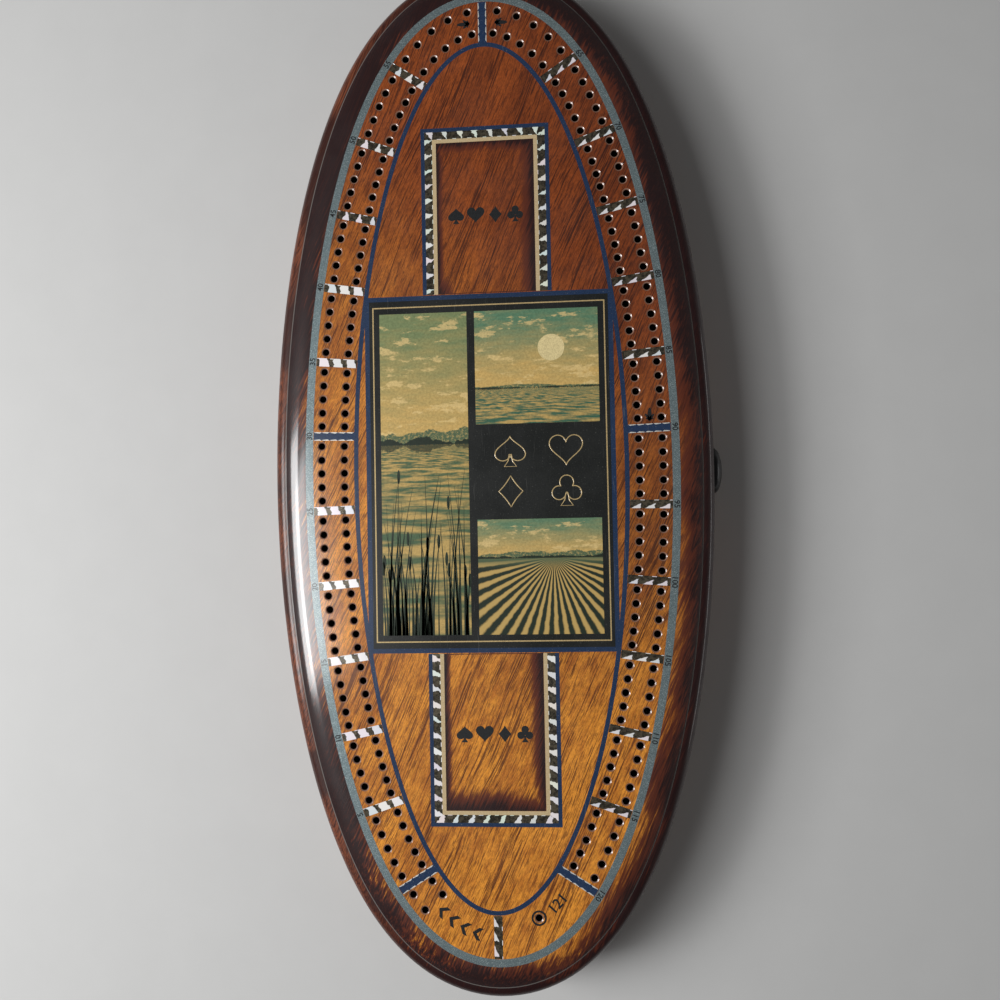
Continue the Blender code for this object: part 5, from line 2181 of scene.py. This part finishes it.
@dataclass
class LowerCase(Assembly):
    """The lower oval case with its drawer channel, the bottom panel and the felt."""

    oval: BoardOval
    offset: float = 35.6 * MM
    ease: float = 0.9 * MM
    felt_inset: float = 4.0 * MM
    felt_ease: float = 0.4 * MM
    ease_steps: int = 4
    channel_back_gap: float = 0.5 * MM
    channel_side_gap: float = 0.8 * MM
    channel_over: float = 5.0 * MM

    def eased(self, offset: float, low: float, high: float, ease: float) -> list[tuple[float, float]]:
        """Return a slab's profile with rounded edges, bottom to top.

        Args:
            offset: How far outside the oval its sides stand.
            low: Its underside.
            high: Its upper side.
            ease: The radius of its edges.

        Returns:
            The pairs of offset and height.
        """
        turns = [math.pi / 2 * step / self.ease_steps for step in range(self.ease_steps + 1)]
        lower = [(offset - ease * (1 - math.sin(t)), low + ease * (1 - math.cos(t))) for t in turns]
        upper = [(offset - ease * (1 - math.cos(t)), high - ease * (1 - math.sin(t))) for t in turns]
        return lower + upper

    def build(self) -> None:
        """Build and dress the case."""
        wood = VarnishedWood("case_varnished_wood", "case_wood", turn=0.0, rim_full=1.0,
                             ovolo_start=1.0, far_light=display(120, 62, 34),
                             near_light=display(132, 74, 38), far_dark=display(84, 40, 22),
                             near_dark=display(92, 48, 24))
        ply = BareWood("birch_ply", "pale_ply")
        low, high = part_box("case_block")
        blank = oval_slab(self.oval, self.eased(self.offset, low.z, high.z, self.ease))
        block = carved(blank, *self.channel(low.z, high.z), "DIFFERENCE")
        self.show("case_block_looks", block, [wood], "case_block")
        low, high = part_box("case_bottom")
        panel = oval_slab(self.oval, self.eased(self.offset, low.z, high.z, self.ease))
        self.show("case_bottom_looks", panel, [ply], "case_bottom")
        low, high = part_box("base_felt")
        pad = oval_slab(self.oval, self.eased(self.offset - self.felt_inset, low.z, high.z, self.felt_ease))
        self.show("base_felt_looks", pad, [Felt("green_felt_looks", "green_felt")], "base_felt")
        self.dress(ply, "drawer_stop_strip")
        names = [f"{kind}_screw_{number}" for kind in ("bottom", "top") for number in range(1, 5)]
        self.dress(ZINC_PLATE, *names)

    def channel(self, low: float, high: float) -> tuple[Vector, Vector]:
        """Return the corners of the drawer's channel, which runs out through the +X side.

        Args:
            low: The case's underside.
            high: Its upper side.

        Returns:
            The lower and the upper corner.
        """
        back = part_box("drawer_back")[0].x - self.channel_back_gap
        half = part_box("drawer_front")[1].y + self.channel_side_gap
        over = self.channel_over
        return Vector((back, -half, low - over)), Vector((CAD_BOX[1].x, half, high + over))


@dataclass
class Drawer(Assembly):
    """The drawer: its curved front and knob, its box of boards, and the pegs in its trough."""

    oval: BoardOval
    body = Body.DRAWER
    offset: float = 35.6 * MM
    ease: float = 0.9 * MM
    keep_out: float = 20.0 * MM
    keep_over: float = 5.0 * MM
    knob_sides: int = 64
    knob_steps: int = 8
    knob_neck_share: float = 0.6
    knob_flare_share: float = 0.94
    knob_shoulder_share: float = 0.3
    knob_rim_share: float = 0.56
    peg_sides: int = 28
    peg_neck: float = 1.5 * MM
    peg_tip: float = 1.2 * MM
    peg_tip_share: float = 0.7
    peg_tip_round: float = 0.4 * MM
    peg_end_share: float = 0.8
    peg_head: float = 7.0 * MM
    peg_turning: tuple[tuple[float, float], ...] = (
        (0.1, 0.74), (0.25, 0.8), (0.3, 0.72), (0.35, 0.82), (0.5, 0.88), (0.55, 0.8), (0.6, 0.9),
        (0.93, 1.0), (0.98, 0.94))

    def front(self) -> Mesh:
        """Cut the front from an oval slab that follows the case.

        Returns:
            The mesh.
        """
        low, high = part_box("drawer_front")
        blank = oval_slab(self.oval, LowerCase(self.oval).eased(self.offset, low.z, high.z, self.ease))
        over = Vector((self.keep_out, 0, self.keep_over))
        return carved(blank, low - Vector((0, 0, over.z)), high + over, "INTERSECT")

    def knob(self) -> Mesh:
        """Turn the knob: a short neck, a cove and a low dome with a rounded rim.

        Returns:
            The mesh.
        """
        low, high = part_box("drawer_knob")
        radius, length = (high.z - low.z) / 2, high.x - low.x
        neck = radius * self.knob_neck_share
        shoulder, rim = length * self.knob_shoulder_share, length * self.knob_rim_share
        profile = [(0.0, 0.0), (neck, 0.0)]
        turns = [math.pi / 2 * step / self.knob_steps for step in range(self.knob_steps + 1)]
        flare = radius * self.knob_flare_share
        profile += [(neck + (flare - neck) * (1 - math.cos(t)), shoulder * math.sin(t)) for t in turns]
        profile += [(radius - (radius - flare) * (1 - math.sin(t)),
                     shoulder + (rim - shoulder) * 0.5 * (1 - math.cos(t))) for t in turns[1:]]
        profile += [(radius * math.cos(t), rim + (length - rim) * math.sin(t)) for t in turns[:-1]]
        profile.append((0.0, length))
        place = Matrix.Translation((low.x, 0, (low.z + high.z) / 2))
        place = place @ Matrix.Rotation(math.pi / 2, 4, "Y")
        return turned(profile, self.knob_sides, place)

    def peg(self, name: str) -> Mesh:
        """Turn one peg: a tapered head with two grooves over a slim body.

        Args:
            name: The peg's node.

        Returns:
            The mesh.
        """
        low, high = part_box(name)
        length = high.y - low.y
        head, tip = (high.z - low.z) / 2, self.peg_tip
        side = 1 if low.y > 0 else -1
        profile = [(0.0, 0.0), (tip * self.peg_tip_share, 0.0), (tip, self.peg_tip_round),
                   (self.peg_neck, length - self.peg_head)]
        profile += [(head * radius, length - self.peg_head * (1 - share))
                    for share, radius in self.peg_turning]
        profile += [(head * self.peg_end_share, length), (0.0, length)]
        start = low.y if side > 0 else high.y
        place = Matrix.Translation(((low.x + high.x) / 2, start, (low.z + high.z) / 2))
        lay = Matrix.Rotation(-side * math.pi / 2, 4, "X")
        return turned(profile, self.peg_sides, place @ lay)

    def build(self) -> None:
        """Build and dress the drawer."""
        front = VarnishedWood("front_varnished_wood", "drawer_front_wood", turn=0.0, rim_full=1.0,
                              ovolo_start=1.0, far_light=display(150, 80, 40),
                              near_light=display(160, 88, 42), far_dark=display(110, 52, 26),
                              near_dark=display(118, 58, 28))
        self.show("drawer_front_looks", self.front(), [front], "drawer_front")
        paint = GlossPaint("black_gloss_paint", "black_paint")
        self.show("drawer_knob_looks", self.knob(), [paint], "drawer_knob")
        self.dress(ZINC_PLATE, "knob_screw")
        floor = BareWood("drawer_floor_ply", "pale_ply", turn=math.pi / 2)
        self.dress(floor, "drawer_bottom")
        along = BareWood("drawer_side_ply", "pale_ply", turn=math.pi / 2, layer_axis=1)
        self.dress(along, "drawer_side_left", "drawer_side_right", "card_divider")
        across = BareWood("drawer_cross_ply", "pale_ply", layer_axis=0)
        self.dress(across, "drawer_back", "trough_divider")
        maple = BareWood("peg_maple_looks", "peg_maple", layer=1.0, light=display(226, 200, 156),
                         dark=display(204, 172, 122), pitch=0.6 * MM, length=12.0 * MM, roughness=0.45)
        walnut = BareWood("peg_walnut_looks", "peg_walnut", layer=1.0, light=display(104, 62, 40),
                          dark=display(70, 38, 24), pore=display(40, 22, 14), pitch=0.6 * MM,
                          length=12.0 * MM, roughness=0.45)
        for kind, finish in (("light_peg", maple), ("dark_peg", walnut)):
            for number in range(1, 4):
                name = f"{kind}_{number}"
                self.show(name + "_looks", self.peg(name), [finish], name)


@dataclass(frozen=True)
class Lamp:
    """A soft area lamp that faces the board's middle."""

    name: str
    place: Vector
    size: tuple[float, float]
    power: float

    def hang(self) -> None:
        """Put the lamp in the scene."""
        light = bpy.data.lights.new(self.name, "AREA")
        light.shape = "RECTANGLE"
        light.size, light.size_y = self.size
        light.energy = self.power
        lamp = bpy.data.objects.new(self.name, light)
        lamp.location = self.place
        lamp.rotation_euler = (-self.place).to_track_quat("-Z", "Y").to_euler()
        bpy.context.scene.collection.objects.link(lamp)


@dataclass
class Studio:
    """A pale floor, soft lights and the camera."""

    floor_size: float = 4.0
    floor_colour: Colour = display(207, 207, 206)
    floor_dim: float = 0.94
    floor_roughness: float = 0.9
    floor_drop: float = 0.1 * MM
    world_colour: Colour = display(250, 250, 250)
    world_strength: float = 0.08
    lens: float = 36.1
    sensor_width: float = 36.0
    clip_start: float = 0.01
    camera_place: Vector = field(default_factory=lambda: Vector((0.0427, -0.0300, 0.4977)))
    camera_target: Vector = field(default_factory=lambda: Vector((0.0042, -0.0128, 0.0493)))
    camera_roll: float = math.radians(1.06)
    lamps: tuple[Lamp, ...] = (
        Lamp("left_window", Vector((-0.817, -0.09, 0.736)), (0.46, 0.4), 6.8),
        Lamp("left_glow", Vector((-0.600, -0.09, 0.940)), (0.34, 0.56), 5.2),
        Lamp("right_fill", Vector((1.25, -0.1, 0.17)), (1.0, 0.2), 2.4),
    )

    def floor(self) -> None:
        """Lay the floor just under the felt."""
        half = self.floor_size / 2
        draft = Draft()
        corners = [draft.cage.verts.new((x * half, y * half, -self.floor_drop))
                   for x, y in ((-1, -1), (1, -1), (1, 1), (-1, 1))]
        draft.face(corners)
        floor = bpy.data.objects.new("floor", draft.mesh())
        floor.data.name = "floor"
        bpy.context.scene.collection.objects.link(floor)
        material = bpy.data.materials.new("pale_floor")
        material.use_nodes = True
        graph = Surface(material)
        mottle = graph.noise(graph.place(), 4.0, 0.6, 40.0)
        dim = tuple(level * self.floor_dim for level in self.floor_colour)
        graph.lay(graph.mix(mottle, dim, self.floor_colour), self.floor_roughness)
        floor.data.materials.append(material)

    def world(self) -> None:
        """Light everything evenly from all sides."""
        world = bpy.data.worlds.new("studio")
        world.use_nodes = True
        background = world.node_tree.nodes["Background"]
        background.inputs["Color"].default_value = (*self.world_colour, 1.0)
        background.inputs["Strength"].default_value = self.world_strength
        bpy.context.scene.world = world

    def camera(self) -> None:
        """Stand the camera over the board."""
        back = (self.camera_place - self.camera_target).normalized()
        hint = Vector((math.sin(self.camera_roll), math.cos(self.camera_roll), 0))
        right = hint.cross(back).normalized()
        up = back.cross(right)
        data = bpy.data.cameras.new("camera")
        data.lens = self.lens
        data.sensor_width = self.sensor_width
        data.clip_start = self.clip_start
        camera = bpy.data.objects.new("camera", data)
        turn = Matrix((right, up, back)).transposed().to_4x4()
        camera.matrix_world = Matrix.Translation(self.camera_place) @ turn
        bpy.context.scene.collection.objects.link(camera)
        bpy.context.scene.camera = camera

    def build(self) -> None:
        """Build the studio."""
        bpy.context.scene.view_settings.view_transform = "Standard"
        self.floor()
        self.world()
        for lamp in self.lamps:
            lamp.hang()
        self.camera()


def main() -> None:
    """Dress the whole board and light it."""
    logging.basicConfig(level=logging.INFO, format="%(name)s: %(message)s")
    ring_outer = PegTrack.ring_offset + PegTrack.ring_width
    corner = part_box("score_ring")[1]
    oval = BoardOval(corner.x - ring_outer, corner.y - ring_outer)
    track = PegTrack(oval)
    for assembly in (PlayingTop(track), TrackInlays(track), CardFrames(), CentrePanel(oval),
                     PrintedMarks(track), LowerCase(oval), Drawer(oval), Studio()):
        LOG.info("building %s", type(assembly).__name__)
        assembly.build()


if __name__ == "__main__":
    main()
